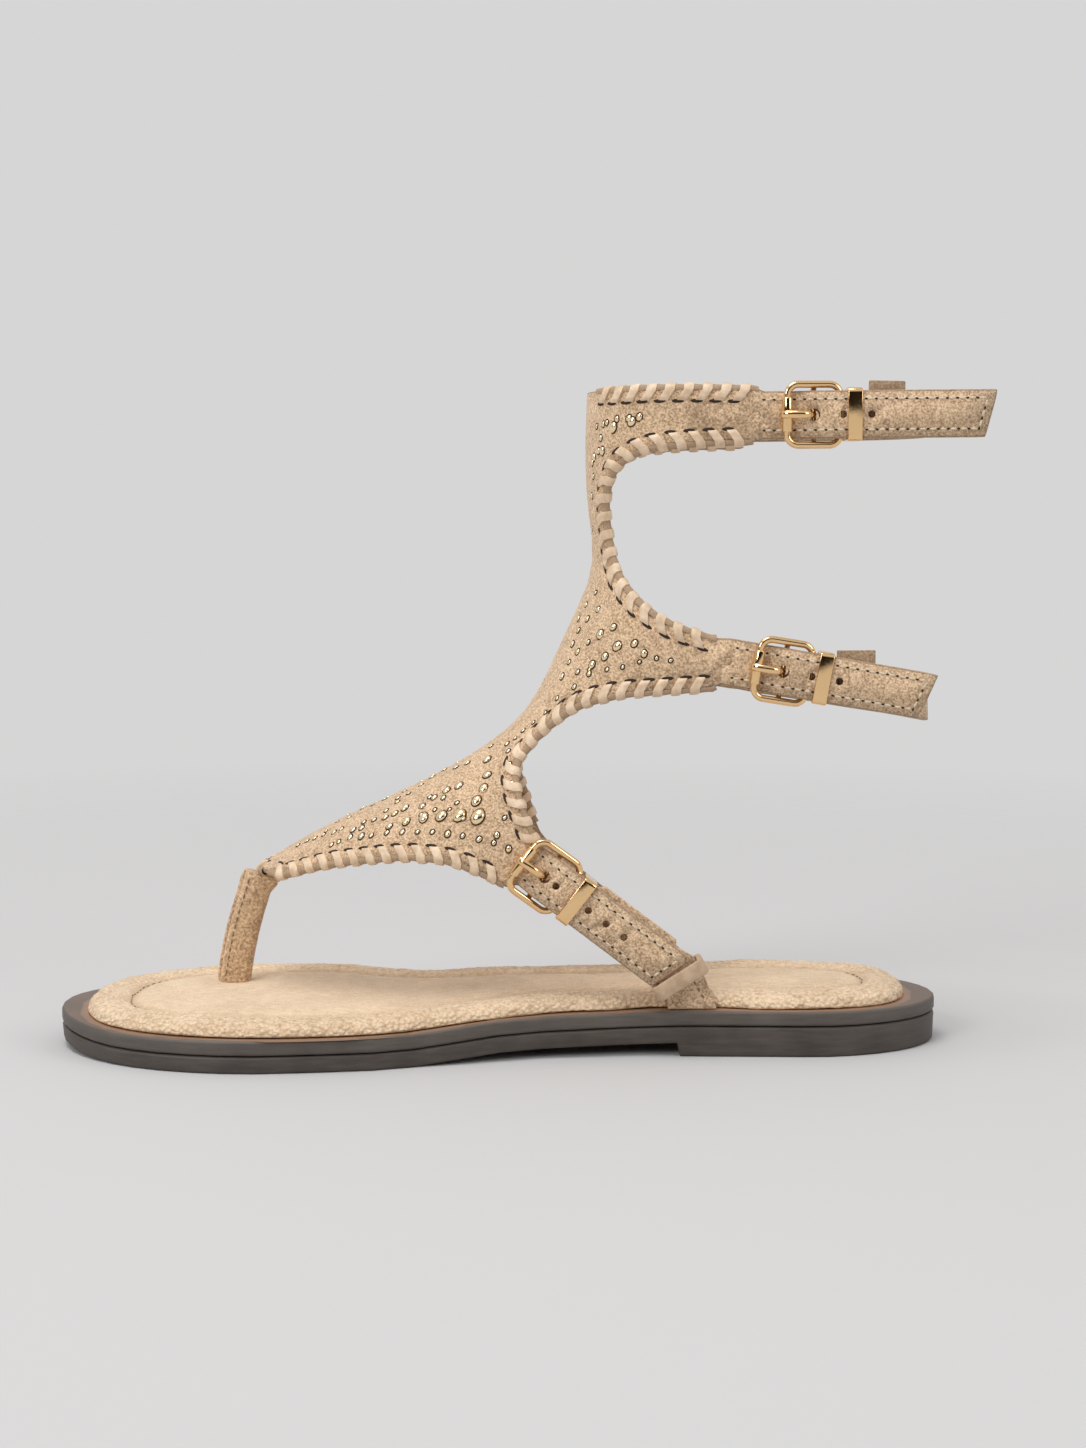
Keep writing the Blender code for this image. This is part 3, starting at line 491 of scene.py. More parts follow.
class Finishes:
    """Every material of the sandal, made once."""

    def __init__(self) -> None:
        """Builds the materials."""
        self.suede = Suede("napped_suede").make()
        self.post = Suede("post_suede", light=(0.80, 0.57, 0.36), dark=(0.33, 0.21, 0.12), nap=0.8 * MM,
                          depth=0.6 * MM).make()
        self.rough_suede = Suede("rough_suede", light=(0.46, 0.32, 0.20), dark=(0.25, 0.16, 0.095),
                                 nap=0.7 * MM, depth=0.4 * MM).make()
        self.footbed = FleecySuede("brushed_suede").make()
        self.lace = SmoothLeather("lacing_leather", (0.81, 0.625, 0.445), (0.62, 0.445, 0.29)).make()
        self.loop = SmoothLeather("loop_leather", (0.55, 0.395, 0.26), (0.44, 0.30, 0.19), 0.55).make()
        self.cut = Plain("cut_edge", (0.27, 0.17, 0.10)).make()
        # Partly the rolled edge's own suede, partly painted shade between the lacing strips.
        self.cord_and_shade = Plain("rolled_edge_and_shade", (0.46, 0.315, 0.195)).make()
        # Painted shade: one near-black finish for the shadows in the slits, round the studs and in the needle
        # holes.
        self.slit = Plain("slit_shadow", (0.035, 0.018, 0.010), 0.9).make()
        self.thread = Plain("cream_thread", (0.78, 0.64, 0.47), 0.75, 0.25 * MM).make()
        self.gold = Gold("pale_gold").make()
        self.stud = Gold("stud_gold", (0.96, 0.78, 0.50), 0.12).make()
        self.sole = SoleEdge("sole_rubber").make()
        self.rim = SoleEdge("rim_leather", (0.118, 0.100, 0.087), (0.078, 0.064, 0.055)).make()
        self.rim_top = SoleEdge("rim_top", (0.185, 0.135, 0.106), (0.125, 0.090, 0.070)).make()
        self.stain = Stain("rim_stain").make()


# Making pieces

class Workshop:
    """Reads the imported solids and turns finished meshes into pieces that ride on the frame."""

    def __init__(self, loaded: dict, finishes: Finishes) -> None:
        """Keeps the frame.

        Args:
            finishes: the sandal's materials.
        """
        self.nodes = loaded["nodes"]
        self.finishes = finishes

    def solid(self, node: str) -> bmesh.types.BMesh:
        """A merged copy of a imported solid, without its needle-thin edges.

        Args:
            node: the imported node's name.

        Returns:
            A new mesh.
        """
        bm = bmesh.new()
        bm.from_mesh(self.nodes[node].data)
        bmesh.ops.remove_doubles(bm, verts=bm.verts, dist=0.002 * MM)
        bmesh.ops.dissolve_degenerate(bm, dist=0.001 * MM, edges=bm.edges)
        bm.normal_update()
        return bm

    def piece(self, bm: bmesh.types.BMesh, name: str, materials: Iterable, slot: str,
              replaces: tuple = (), sharp: float = 40.0) -> bpy.types.Object:
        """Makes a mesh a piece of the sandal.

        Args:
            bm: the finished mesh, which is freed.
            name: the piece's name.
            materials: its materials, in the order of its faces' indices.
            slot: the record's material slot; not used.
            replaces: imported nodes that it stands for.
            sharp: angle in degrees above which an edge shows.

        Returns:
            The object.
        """
        mesh = bpy.data.meshes.new(name)
        bm.to_mesh(mesh)
        bm.free()
        mesh.shade_smooth()
        mesh.set_sharp_from_angle(angle=math.radians(sharp))
        for material in materials:
            mesh.materials.append(material)
        made = bpy.data.objects.new(name, mesh)
        bpy.context.scene.collection.objects.link(made)
        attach(made, BODY)
        if replaces:
            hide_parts(*replaces)
        log.info("%s: %d faces", name, len(mesh.polygons))
        return made


def soften(bm: bmesh.types.BMesh, angle: float, width: float, segments: int = 2) -> None:
    """Rounds the edges that are sharper than an angle.

    Args:
        bm: the mesh.
        angle: angle in degrees.
        width: width of the rounding in metres.
        segments: steps of the rounding.
    """
    edges = [e for e in bm.edges if len(e.link_faces) == 2 and e.calc_face_angle() > math.radians(angle)]
    bmesh.ops.bevel(bm, geom=edges, offset=width, offset_type="OFFSET", affect="EDGES", segments=segments,
                    profile=0.5, material=-1, clamp_overlap=True)


def islands(bm: bmesh.types.BMesh, angle: float) -> list[set]:
    """Groups of faces that sharp edges divide, the largest area first.

    Args:
        bm: the mesh.
        angle: angle in degrees from which an edge divides.

    Returns:
        Sets of faces.
    """
    limit = math.radians(angle)
    left = set(bm.faces)
    groups = []
    while left:
        todo = [left.pop()]
        group = set(todo)
        while todo:
            face = todo.pop()
            for edge in face.edges:
                if len(edge.link_faces) == 2 and edge.calc_face_angle() < limit:
                    for other in edge.link_faces:
                        if other in left:
                            left.discard(other)
                            group.add(other)
                            todo.append(other)
        groups.append(group)
    return sorted(groups, key=lambda g: -sum(f.calc_area() for f in g))


def oriented(origin: Vector, along: Vector, normal: Vector, size: tuple) -> Matrix:
    """A place on a surface.

    Args:
        origin: the point.
        along: direction of the first axis, laid on the surface.
        normal: direction of the third axis.
        size: scale along each axis.

    Returns:
        The matrix that puts a unit shape there.
    """
    normal = normal.normalized()
    first = (along - normal * along.dot(normal)).normalized()
    second = normal.cross(first)
    turn = Matrix((first, second, normal)).transposed().to_4x4()
    return Matrix.Translation(origin) @ turn @ Matrix.Diagonal((*size, 1.0))


class Pebbles:
    """Many rounded pebbles in one mesh: studs, stitches or the shadows of slits."""

    def __init__(self, segments: int = 8, rings: int = 5) -> None:
        """Makes the pebble that the others copy.

        Args:
            segments: its sides round the third axis.
            rings: its steps along that axis.
        """
        self.bm = bmesh.new()
        one = bmesh.new()
        bmesh.ops.create_uvsphere(one, u_segments=segments, v_segments=rings, radius=1.0)
        self.one = bpy.data.meshes.new("pebble")
        one.to_mesh(self.one)
        one.free()

    def add(self, place: Matrix) -> None:
        """Adds a pebble.

        Args:
            place: turns, stretches and moves it into its place.
        """
        before = len(self.bm.verts)
        self.bm.from_mesh(self.one)
        self.bm.verts.ensure_lookup_table()
        for k in range(before, len(self.bm.verts)):
            vert = self.bm.verts[k]
            vert.co = place @ vert.co


class Skin:
    """One face of the suede wall, to lay things on."""

    def __init__(self, faces: set) -> None:
        """Keeps the faces in a tree.

        Args:
            faces: faces of the wall.
        """
        faces = sorted(faces, key=lambda f: f.index)
        verts = sorted({v for f in faces for v in f.verts}, key=lambda v: v.index)
        number = {v: k for k, v in enumerate(verts)}
        normals = {v: Vector() for v in verts}
        for face in faces:
            for vert in face.verts:
                normals[vert] += face.normal * face.calc_area()
        self.points = [v.co.copy() for v in verts]
        self.normals = [normals[v].normalized() for v in verts]
        self.polygons = [[number[v] for v in f.verts] for f in faces]
        self.tree = BVHTree.FromPolygons(self.points, self.polygons)

    def smooth_normal(self, point: Vector, index: int) -> Vector:
        """Normal at a point of a face, blended from the face's corners by nearness.

        Args:
            point: the point.
            index: number of the face that it lies on.

        Returns:
            The normal.
        """
        blend = Vector()
        for k in self.polygons[index]:
            gap = (self.points[k] - point).length + 0.1 * MM
            blend += self.normals[k] / gap
        return blend.normalized()

    def nearest(self, point: Vector) -> tuple[Vector, Vector]:
        """Nearest point and its normal."""
        place, _, index, _ = self.tree.find_nearest(point)
        return place, self.smooth_normal(place, index)

    def seen(self, x: float, z: float, side: Side) -> tuple[Vector, Vector] | None:
        """The point that shows in the side view.

        Args:
            x: its X.
            z: its Z.
            side: side that it is seen from.

        Returns:
            The point and its normal, or None where there is no suede.
        """
        start = Vector((x, side.value * BESIDE, z))
        place, _, index, _ = self.tree.ray_cast(start, Vector((0, -side.value, 0)))
        if place is None:
            return None
        return place, self.smooth_normal(place, index)


class Rim:
    """The outline of the suede wall: a closed line round its outer face."""

    def __init__(self, faces: set) -> None:
        """Follows the outline.

        Args:
            faces: the wall's outer face.
        """
        chain = self.trace(faces)
        near = [[f for f in v.link_faces if f in faces] for v in chain]
        self.points = [v.co.copy() for v in chain]
        self.normals = [sum((f.normal * math.sqrt(f.calc_area()) for f in group), Vector()).normalized()
                        for group in near]
        self.inward = self.evened([self.across(k, group) for k, group in enumerate(near)])
        self.normals = self.evened(self.normals)
        self.starts = [0.0]
        for before, after in zip(self.points, self.points[1:] + self.points[:1]):
            self.starts.append(self.starts[-1] + (after - before).length)
        self.length = self.starts[-1]

    @staticmethod
    def trace(faces: set) -> list:
        """Follows the edges round the faces.

        Args:
            faces: the wall's outer face.

        Returns:
            The vertices of the longest line, in order.
        """
        edges = [e for f in sorted(faces, key=lambda f: f.index) for e in f.edges
                 if sum(1 for g in e.link_faces if g in faces) == 1]
        follows: dict = {}
        for edge in edges:
            for vert in edge.verts:
                follows.setdefault(vert, []).append(edge)
        lines = []
        left = set(edges)
        while left:
            edge = min(left, key=lambda e: e.index)
            left.discard(edge)
            line = [edge.verts[0], edge.verts[1]]
            while onward := [e for e in follows[line[-1]] if e in left]:
                left.discard(onward[0])
                line.append(onward[0].other_vert(line[-1]))
            lines.append(line)
        longest = max(lines, key=lambda c: sum((a.co - b.co).length for a, b in zip(c, c[1:])))
        return longest[:-1] if longest[0] is longest[-1] else longest

    def across(self, k: int, faces: list) -> Vector:
        """Direction from a point of the outline into the wall.

        Args:
            k: number of the point.
            faces: the wall's faces at that point.

        Returns:
            The direction, square to the outline.
        """
        way = (self.points[(k + 1) % len(self.points)] - self.points[k - 1]).normalized()
        inward = self.normals[k].cross(way).normalized()
        middle = sum((f.calc_center_median() for f in faces), Vector()) / max(1, len(faces))
        return -inward if inward.dot(middle - self.points[k]) < 0 else inward

    def evened(self, ways: list[Vector], reach: float = 2.5 * MM) -> list[Vector]:
        """Averages directions over the outline's nearby points.

        Args:
            ways: a direction for each point.
            reach: distance along the outline that still counts.

        Returns:
            The even directions.
        """
        count = len(ways)
        even = []
        for k in range(count):
            blend = ways[k].copy()
            for turn in (1, -1):
                at = k
                gone = 0.0
                while True:
                    gone += (self.points[(at + turn) % count] - self.points[at]).length
                    if gone > reach:
                        break
                    at = (at + turn) % count
                    blend += ways[at] * (1 - gone / reach)
            even.append(blend.normalized())
        return even

    def at(self, s: float) -> tuple[Vector, Vector, Vector]:
        """A place on the outline.

        Args:
            s: length along the outline.

        Returns:
            Point, normal and inward direction.
        """
        s %= self.length
        low = min(bisect.bisect_right(self.starts, s), len(self.points)) - 1
        after = (low + 1) % len(self.points)
        share = (s - self.starts[low]) / max(self.starts[low + 1] - self.starts[low], 1e-9)
        blend = [a[low].lerp(a[after], share) for a in (self.points, self.normals, self.inward)]
        return blend[0], blend[1].normalized(), blend[2].normalized()

    def nearest(self, place: Place, side: Side) -> float:
        """Finds the outline's point nearest to a side view place.

        Args:
            place: X and Z.
            side: side of the foot that the point lies on.

        Returns:
            Its length along the outline.
        """
        target = Vector(place)

        def rank(p: Vector) -> tuple[float, float]:
            """Distance in the side view, far on the other side. Of two alike the outer one wins."""
            wrong = 1.0 if p.y * side.value < -2 * MM else 0.0
            return round((Vector((p.x, p.z)) - target).length + wrong, 6), p.y

        return self.starts[min(range(len(self.points)), key=lambda k: rank(self.points[k]))]


# Upper

@dataclass
class Run:
    """A stretch of lacing along the outline, from its first stitch to the end that it leans to."""

    name: str
    start: Place
    end: Place


@dataclass
class Lacing:
    """Flat leather lacing whipped round the panel's edges, with painted shadows in its slits, and the rolled
    edge below it, which takes painted shade between the strips.

    A strip is charted by v, from 0 at its slit on the outer face to 1 at the next slit inside. It reaches
    the edge at v = front, having taken lean_share of its lean, and has gone round the edge at v = back.
    """

    rim: Rim
    skins: dict
    pitch: float = 5.4 * MM
    width: float = 2.9 * MM
    lean: float = 2.7 * MM
    depth: float = 3.9 * MM
    rise: float = 0.85 * MM
    tuck: float = -0.35 * MM
    front: float = 0.42
    back: float = 0.62
    lean_share: float = 0.92
    columns: int = 6
    rows: int = 15
    slit: tuple = (1.9 * MM, 0.6 * MM, 0.22 * MM)
    slit_shift: float = 0.6 * MM
    slit_under: float = 0.4 * MM
    cord_step: float = 1.3 * MM
    cord_turn: float = 108.0
    cord_rise: float = 0.22 * MM
    cord_lump: float = 0.12 * MM
    cord_beyond: float = 1.0 * MM
    runs: tuple = (
        Run("collar_top", (-0.0700, 0.1914), (-0.0262, 0.1910)),
        Run("shin", (-0.0372, 0.1185), (-0.0263, 0.1775)),
        Run("instep", (-0.0371, 0.1075), (-0.0862, 0.0612)),
        Run("vamp", (-0.1690, 0.0480), (-0.0975, 0.0500)),
    )

    def build(self, shop: Workshop) -> None:
        """Builds the lacing of every run on both sides.

        Args:
            shop: makes the pieces.
        """
        fin = shop.finishes
        for run in self.runs:
            strips, slit_shadows, cord_and_shade = bmesh.new(), Pebbles(10, 5), bmesh.new()
            for side in Side:
                self.add_run(run, side, strips, slit_shadows, cord_and_shade)
            shop.piece(strips, f"lacing_{run.name}", [fin.lace], "leather", sharp=60)
            shop.piece(slit_shadows.bm, f"slits_{run.name}", [fin.slit], "leather")
            shop.piece(cord_and_shade, f"edge_cord_{run.name}", [fin.cord_and_shade], "suede", sharp=70)

    def add_run(self, run: Run, side: Side, strips: bmesh.types.BMesh, slit_shadows: Pebbles,
                cord_and_shade: bmesh.types.BMesh) -> None:
        """Adds one run on one side.

        Args:
            run: the run.
            side: side of the foot.
            strips: mesh that takes the strips.
            slit_shadows: pebbles that take the painted shadows of the slits.
            cord_and_shade: mesh that takes the rolled edge.
        """
        start = self.rim.nearest(run.start, side)
        end = self.rim.nearest(run.end, side)
        span = (end - start + self.rim.length / 2) % self.rim.length - self.rim.length / 2
        way = math.copysign(1.0, span)
        count = max(1, round((abs(span) - self.lean) / self.pitch))
        step = (abs(span) - self.lean) / count
        for k in range(count):
            s = start + way * (k + 0.5) * step
            self.add_stitch(strips, s, way)
            self.add_slit(slit_shadows, s, way, Face.OUT)
            self.add_slit(slit_shadows, s + way * step, way, Face.IN)
        self.add_cord(cord_and_shade, start - way * self.cord_beyond, span + way * 2 * self.cord_beyond)

    def lay(self, s: float, depth: float, face: Face, height: float) -> Vector:
        """A point over one face of the wall.

        Args:
            s: length along the outline.
            depth: distance in from the edge.
            face: which face.
            height: distance out from the face.

        Returns:
            The point.
        """
        edge, normal, inward = self.rim.at(s)
        below = 0.0 if face is Face.OUT else WALL
        place, out = self.skins[face].nearest(edge - normal * below + inward * depth)
        return place + out * height

    def turn(self, s: float, angle: float, height: float) -> Vector:
        """A point round the edge.

        Args:
            s: length along the outline.
            angle: 0 on the outer face, pi on the inner one.
            height: distance out from the edge's round.

        Returns:
            The point.
        """
        edge, normal, inward = self.rim.at(s)
        way = normal * math.cos(angle) - inward * math.sin(angle)
        return edge - normal * (WALL / 2) + way * (WALL / 2 + height)

    def add_stitch(self, bm: bmesh.types.BMesh, s: float, way: float) -> None:
        """Adds one strip: out of its slit, slanting to the edge, round it and back inside.

        Args:
            bm: mesh that takes it.
            s: length along the outline where it leaves its slit.
            way: direction that it leans to.
        """
        made = bmesh.ops.create_grid(bm, x_segments=self.columns, y_segments=self.rows, size=1.0)
        middle = None
        for vert in made["verts"]:
            column, v = vert.co.x, (vert.co.y + 1) / 2
            place = self.strip_point(s, way, column, v)
            if abs(column) < 0.01 and middle is None and v > 0.15:
                middle = (vert, place)
            vert.co = place
        faces = list({f for v in made["verts"] for f in v.link_faces})
        for face in faces:
            face.normal_update()
        vert, place = middle
        _, out = self.skins[Face.OUT].nearest(place)
        if sum((f.normal.dot(out) for f in vert.link_faces)) < 0:
            bmesh.ops.reverse_faces(bm, faces=faces)

    def strip_point(self, s: float, way: float, column: float, v: float) -> Vector:
        """A point of a strip.

        Args:
            s: length along the outline where the strip leaves its slit.
            way: direction that it leans to along the outline.
            column: from -1 to 1 across it; the outermost columns are tucked under.
            v: from 0 at its slit to 1 at the next one inside.

        Returns:
            The point.
        """
        across = math.copysign(min(1.0, abs(column) * 1.42), column)
        tucked = abs(column) > 0.99
        crown = 1 - 0.25 * across ** 4
        at = s + across * self.width / 2
        if v < self.front:
            share = v / self.front
            rise = self.tuck if tucked else self.rise * crown * min(1.0, -0.7 + 6.0 * share)
            return self.lay(at + way * self.lean * share * self.lean_share,
                            self.depth * (1 - share) + 0.1 * MM * share, Face.OUT, rise)
        if v < self.back:
            share = (v - self.front) / (self.back - self.front)
            rise = self.tuck if tucked else self.rise * crown * 0.9
            leant = self.lean_share + (1 - self.lean_share) * share
            return self.turn(at + way * self.lean * leant, math.pi * share, rise)
        share = (v - self.back) / (1 - self.back)
        rise = self.tuck if tucked else self.rise * crown * min(1.0, 5.3 - 6.0 * share)
        return self.lay(at + way * (self.lean + (self.pitch - self.lean) * share),
                        self.depth * share, Face.IN, rise)

    def add_slit(self, slit_shadows: Pebbles, s: float, way: float, face: Face) -> None:
        """Adds the painted shadow in the mouth of a slit.

        Args:
            slit_shadows: pebbles that take it.
            s: length along the outline where the strip leaves it.
            way: direction that the strip leans to.
            face: face of the wall.
        """
        at = s - way * self.slit_shift
        depth = self.depth - self.slit_under
        centre = self.lay(at, depth, face, 0.0)
        along = self.lay(at + 1 * MM, depth, face, 0.0) - centre
        _, out = self.skins[face].nearest(centre)
        # Painted shadow: a near-black flat pebble where the strip goes into its slit.
        slit_shadows.add(oriented(centre, along, out, self.slit))

    def add_cord(self, bm: bmesh.types.BMesh, start: float, span: float) -> None:
        """Adds the rolled edge that shows between the strips, coloured darker than the suede as painted shade
        between them.

        Args:
            bm: mesh that takes it.
            start: length along the outline where it starts.
            span: how far it goes, with its sign.
        """
        count = max(2, round(abs(span) / self.cord_step))
        made = bmesh.ops.create_grid(bm, x_segments=8, y_segments=count, size=1.0)
        for vert in made["verts"]:
            angle = math.pi / 2 + vert.co.x * math.radians(self.cord_turn)
            s = start + span * (vert.co.y + 1) / 2
            lump = self.cord_lump * math.sin(s / (0.8 * MM))
            vert.co = self.turn(s, angle, self.cord_rise + lump)
        bmesh.ops.recalc_face_normals(bm, faces=list({f for v in made["verts"] for f in v.link_faces}))


@dataclass
class StudRow:
    """Studs along a bowed line of the side view, with radii from the first to the last, in millimetres."""

    start: Place
    end: Place
    count: int
    radii: tuple[float, float]
    bow: float = 0.0
    scatter: float = 0.0


@dataclass
class Studs:
    """Domed gold studs, each on a near-black flat pebble a little wider than the stud, which paints the shade
    in the pressed hollow round it.
    """

    dome: tuple = (1.18, 0.88, 0.52)
    lift: float = 0.1
    shadow_margin: float = 0.40 * MM
    shadow_depth: float = 0.12 * MM
    uneven: float = 0.45
    drift: float = 1.7 * MM
    rows: tuple = (
        StudRow((-129.9, 65.6), (-103.8, 69.6), 6, (1.25, 1.75), 1.5),
        StudRow((-135.1, 62.9), (-94.8, 61.0), 10, (0.65, 0.85), 2.9, 0.5),
        StudRow((-98.2, 64.8), (-95.6, 89.5), 6, (0.75, 0.6), -2.4, 0.4),
        StudRow((-104.3, 73.9), (-101.4, 84.9), 4, (1.4, 1.1), -1.2),
        StudRow((-120.2, 71.9), (-109.6, 77.7), 4, (0.8, 1.05), 0.3, 0.5),
        StudRow((-137.8, 65.8), (-125.6, 70.7), 5, (0.7, 1.0), -0.4, 0.5),
        StudRow((-131.0, 69.4), (-107.0, 83.4), 8, (0.7, 0.75), 1.1, 0.6),
        StudRow((-158.8, 57.0), (-138.2, 64.6), 8, (0.5, 0.8), 0.6, 0.9),
        StudRow((-147.6, 58.8), (-138.5, 62.0), 4, (0.6, 0.8), 0.3, 0.7),
        StudRow((-118.0, 74.2), (-110.2, 73.2), 3, (0.6, 0.6), 0.8, 0.6),
        StudRow((-95.4, 87.6), (-88.0, 96.0), 4, (0.6, 0.6), 0.6, 0.7),
        StudRow((-91.5, 84.0), (-85.0, 94.0), 3, (0.55, 0.65), 0.4, 0.8),
        StudRow((-150.0, 61.8), (-128.0, 72.6), 7, (0.45, 0.6), 1.0, 0.9),
        StudRow((-126.0, 74.6), (-100.5, 88.6), 8, (0.5, 0.65), 1.6, 1.0),
        StudRow((-124.0, 67.2), (-108.0, 69.6), 5, (0.45, 0.5), 2.6, 0.8),
        StudRow((-84.5, 99.0), (-72.0, 110.5), 4, (0.5, 0.65), 0.6, 0.9),
        StudRow((-72.0, 112.0), (-58.0, 114.4), 4, (0.45, 0.55), -1.0, 0.9),
        StudRow((-72.5, 136.0), (-70.5, 152.0), 4, (0.45, 0.55), 0.3, 0.5),
        StudRow((-79.6, 109.3), (-64.0, 118.8), 5, (0.85, 1.2), -1.2, 0.3),
        StudRow((-77.8, 113.4), (-65.2, 124.0), 5, (0.7, 1.2), 0.8, 0.4),
        StudRow((-76.6, 118.6), (-69.4, 128.8), 4, (0.7, 0.85), 0.9, 0.4),
        StudRow((-74.6, 125.6), (-70.0, 133.5), 3, (0.6, 0.6), 0.2, 0.4),
        StudRow((-59.4, 119.2), (-48.9, 115.0), 4, (1.0, 0.6), -1.2, 0.5),
        StudRow((-71.8, 156.0), (-70.4, 172.5), 4, (0.6, 0.85), -0.4, 0.3),
        StudRow((-70.6, 170.6), (-67.9, 181.7), 4, (0.75, 0.7), -0.5, 0.6),
        StudRow((-69.8, 181.2), (-57.9, 183.7), 5, (0.6, 0.85), 0.4, 0.8),
        StudRow((-65.3, 180.8), (-64.9, 180.7), 1, (1.45, 1.45)),
        StudRow((-60.2, 182.2), (-59.8, 182.3), 1, (1.3, 1.3)),
        StudRow((-68.3, 174.0), (-67.9, 174.3), 1, (1.1, 1.1)),
    )

    def build(self, shop: Workshop, outer: Skin) -> None:
        """Builds the studs and the painted shade round them on both sides.

        Args:
            shop: makes the pieces.
            outer: the wall's outer face.
        """
        domes, stud_shadows = Pebbles(12, 7), Pebbles(12, 5)
        for side in Side:
            for row in self.rows:
                self.add_row(domes, stud_shadows, row, side, outer)
        shop.piece(domes.bm, "studs", [shop.finishes.stud], "gold", sharp=180)
        shop.piece(stud_shadows.bm, "stud_painted_shadows", [shop.finishes.slit], "suede")

    def add_row(self, domes: Pebbles, stud_shadows: Pebbles, row: StudRow, side: Side, outer: Skin) -> None:
        """Adds one row on one side.

        Args:
            domes: pebbles that take the studs.
            stud_shadows: pebbles that take the painted shade round the studs.
            row: the row.
            side: side of the foot.
            outer: the wall's outer face.
        """
        start, end = Vector(row.start) * MM, Vector(row.end) * MM
        bend = Vector((start.y - end.y, end.x - start.x)).normalized() * row.bow * MM
        for k in range(row.count):
            share = k / (row.count - 1) if row.count > 1 else 0.5
            place = start.lerp(end, share) + bend * 4 * share * (1 - share)
            drift = noise.noise_vector(Vector((place.x, place.y, side.value * MM)) / self.drift)
            place += Vector((drift.x, drift.y)) * row.scatter * MM
            found = outer.seen(place.x, place.y, side)
            if found is None:
                continue
            point, normal = found
            radius = (row.radii[0] * (1 - share) + row.radii[1] * share) * MM * (1 + self.uneven * drift.z)
            along = Vector((0.5 + drift.x, drift.z, 1.0 + drift.y))
            length, width, height = (size * radius for size in self.dome)
            domes.add(oriented(point + normal * self.lift * radius, along, normal, (length, width, height)))
            # Painted shade: a near-black pebble, wider than the stud, round its foot.
            stud_shadows.add(oriented(point, along, normal,
                                 (length + self.shadow_margin, width + self.shadow_margin, self.shadow_depth)))


@dataclass(frozen=True)
class Strap:
    """An outer strap's tail, with its buckle at a share of the sole's length and the collar's height.

    Its slope is in degrees. Its stitch rows start at row_start and its end is at length, both from the
    buckle. The end's lower corner falls back by fall.
    """

    name: str
    share: Place
    slope: float
    row_start: float
    length: float
    fall: float

    def place(self) -> Vector:
        """The buckle's place in the side view."""
        return Vector((self.share[0] * SOLE_LENGTH, self.share[1] * COLLAR_HEIGHT))

    def axes(self) -> tuple[Vector, Vector]:
        """Directions along and across the strap in the side view."""
        angle = math.radians(self.slope)
        return Vector((math.cos(angle), math.sin(angle))), Vector((-math.sin(angle), math.cos(angle)))

    def point(self, along: float, across: float) -> Vector:
        """A side view point from its distances along and across the strap."""
        way, up = self.axes()
        return self.place() + way * along + up * across

    def seat(self, level: float) -> Matrix:
        """The buckle's own axes: along the strap, across it and out of it.

        Args:
            level: distance of the strap's inner layer from the foot's middle plane.

        Returns:
            The matrix from them to the frame's axes.
        """
        way, up = self.axes()
        place = self.place()
        turn = Matrix(((way.x, 0, way.y), (up.x, 0, up.y), (0, -1, 0))).transposed().to_4x4()
        return Matrix.Translation((place.x, -level, place.y)) @ turn


STRAPS = (
    Strap("collar", (-0.0346, 0.9636), 0.5, -14 * MM, 51 * MM, 3.4 * MM),
    Strap("ankle", (-0.065, 0.585), -9.8, -14 * MM, 43 * MM, 3.6 * MM),
    Strap("vamp", (-0.3254, 0.2764), -37.3, -4 * MM, 47.6 * MM, 4.4 * MM),
)


@dataclass
class Stitching:
    """Cream thread in rows along the tails' edges, with painted shadows of the needle holes between the
    stitches.
    """

    inset: float = 2.0 * MM
    pitch: float = 2.9 * MM
    stitch: tuple = (1.0 * MM, 0.36 * MM, 0.28 * MM)
    hole_shadow: tuple = (0.50 * MM, 0.32 * MM, 0.10 * MM)

    def build(self, shop: Workshop, outer: Skin) -> None:
        """Builds the stitch rows of the three tails.

        Args:
            shop: makes the pieces.
            outer: the wall's outer face.
        """
        thread, hole_shadows = Pebbles(), Pebbles()
        for strap in STRAPS:
            for start, end in self.rows(strap):
                self.add_row(thread, hole_shadows, start, end, outer)
        shop.piece(thread.bm, "strap_stitches", [shop.finishes.thread], "suede", sharp=180)
        # Painted shade: near-black marks for the needle holes.
        shop.piece(hole_shadows.bm, "needle_hole_shadows", [shop.finishes.slit], "suede")

    def rows(self, strap: Strap) -> list[tuple[Vector, Vector]]:
        """The two rows of a tail and the one along its slanted end.

        Args:
            strap: the tail's strap.

        Returns:
            The rows' first and last points in the side view.
        """
        edge = STRAP_WIDTH / 2 - self.inset
        low_end = strap.point(strap.length - strap.fall * 0.85 - self.inset, -edge)
        high_end = strap.point(strap.length - strap.fall * 0.15 - self.inset, edge)
        return [(strap.point(strap.row_start, -edge), low_end), (low_end, high_end),
                (strap.point(strap.row_start, edge), high_end)]

    def add_row(self, thread: Pebbles, hole_shadows: Pebbles, start: Vector, end: Vector, outer: Skin) -> None:
        """Adds one row.

        Args:
            thread: pebbles that take the stitches.
            hole_shadows: pebbles that take the painted shadows of the needle holes.
            start: the row's first point in the side view.
            end: its last point.
            outer: the wall's outer face.
        """
        way = Vector((end.x - start.x, 0, end.y - start.y))
        count = max(1, round((end - start).length / self.pitch))
        for k in range(count):
            marks = (((k + 0.5) / count, thread, self.stitch), (k / count, hole_shadows, self.hole_shadow))
            for share, pebbles, size in marks:
                place = start.lerp(end, share)
                found = outer.seen(place.x, place.y, Side.OUTER)
                if found is not None:
                    pebbles.add(oriented(found[0], way, found[1], size))


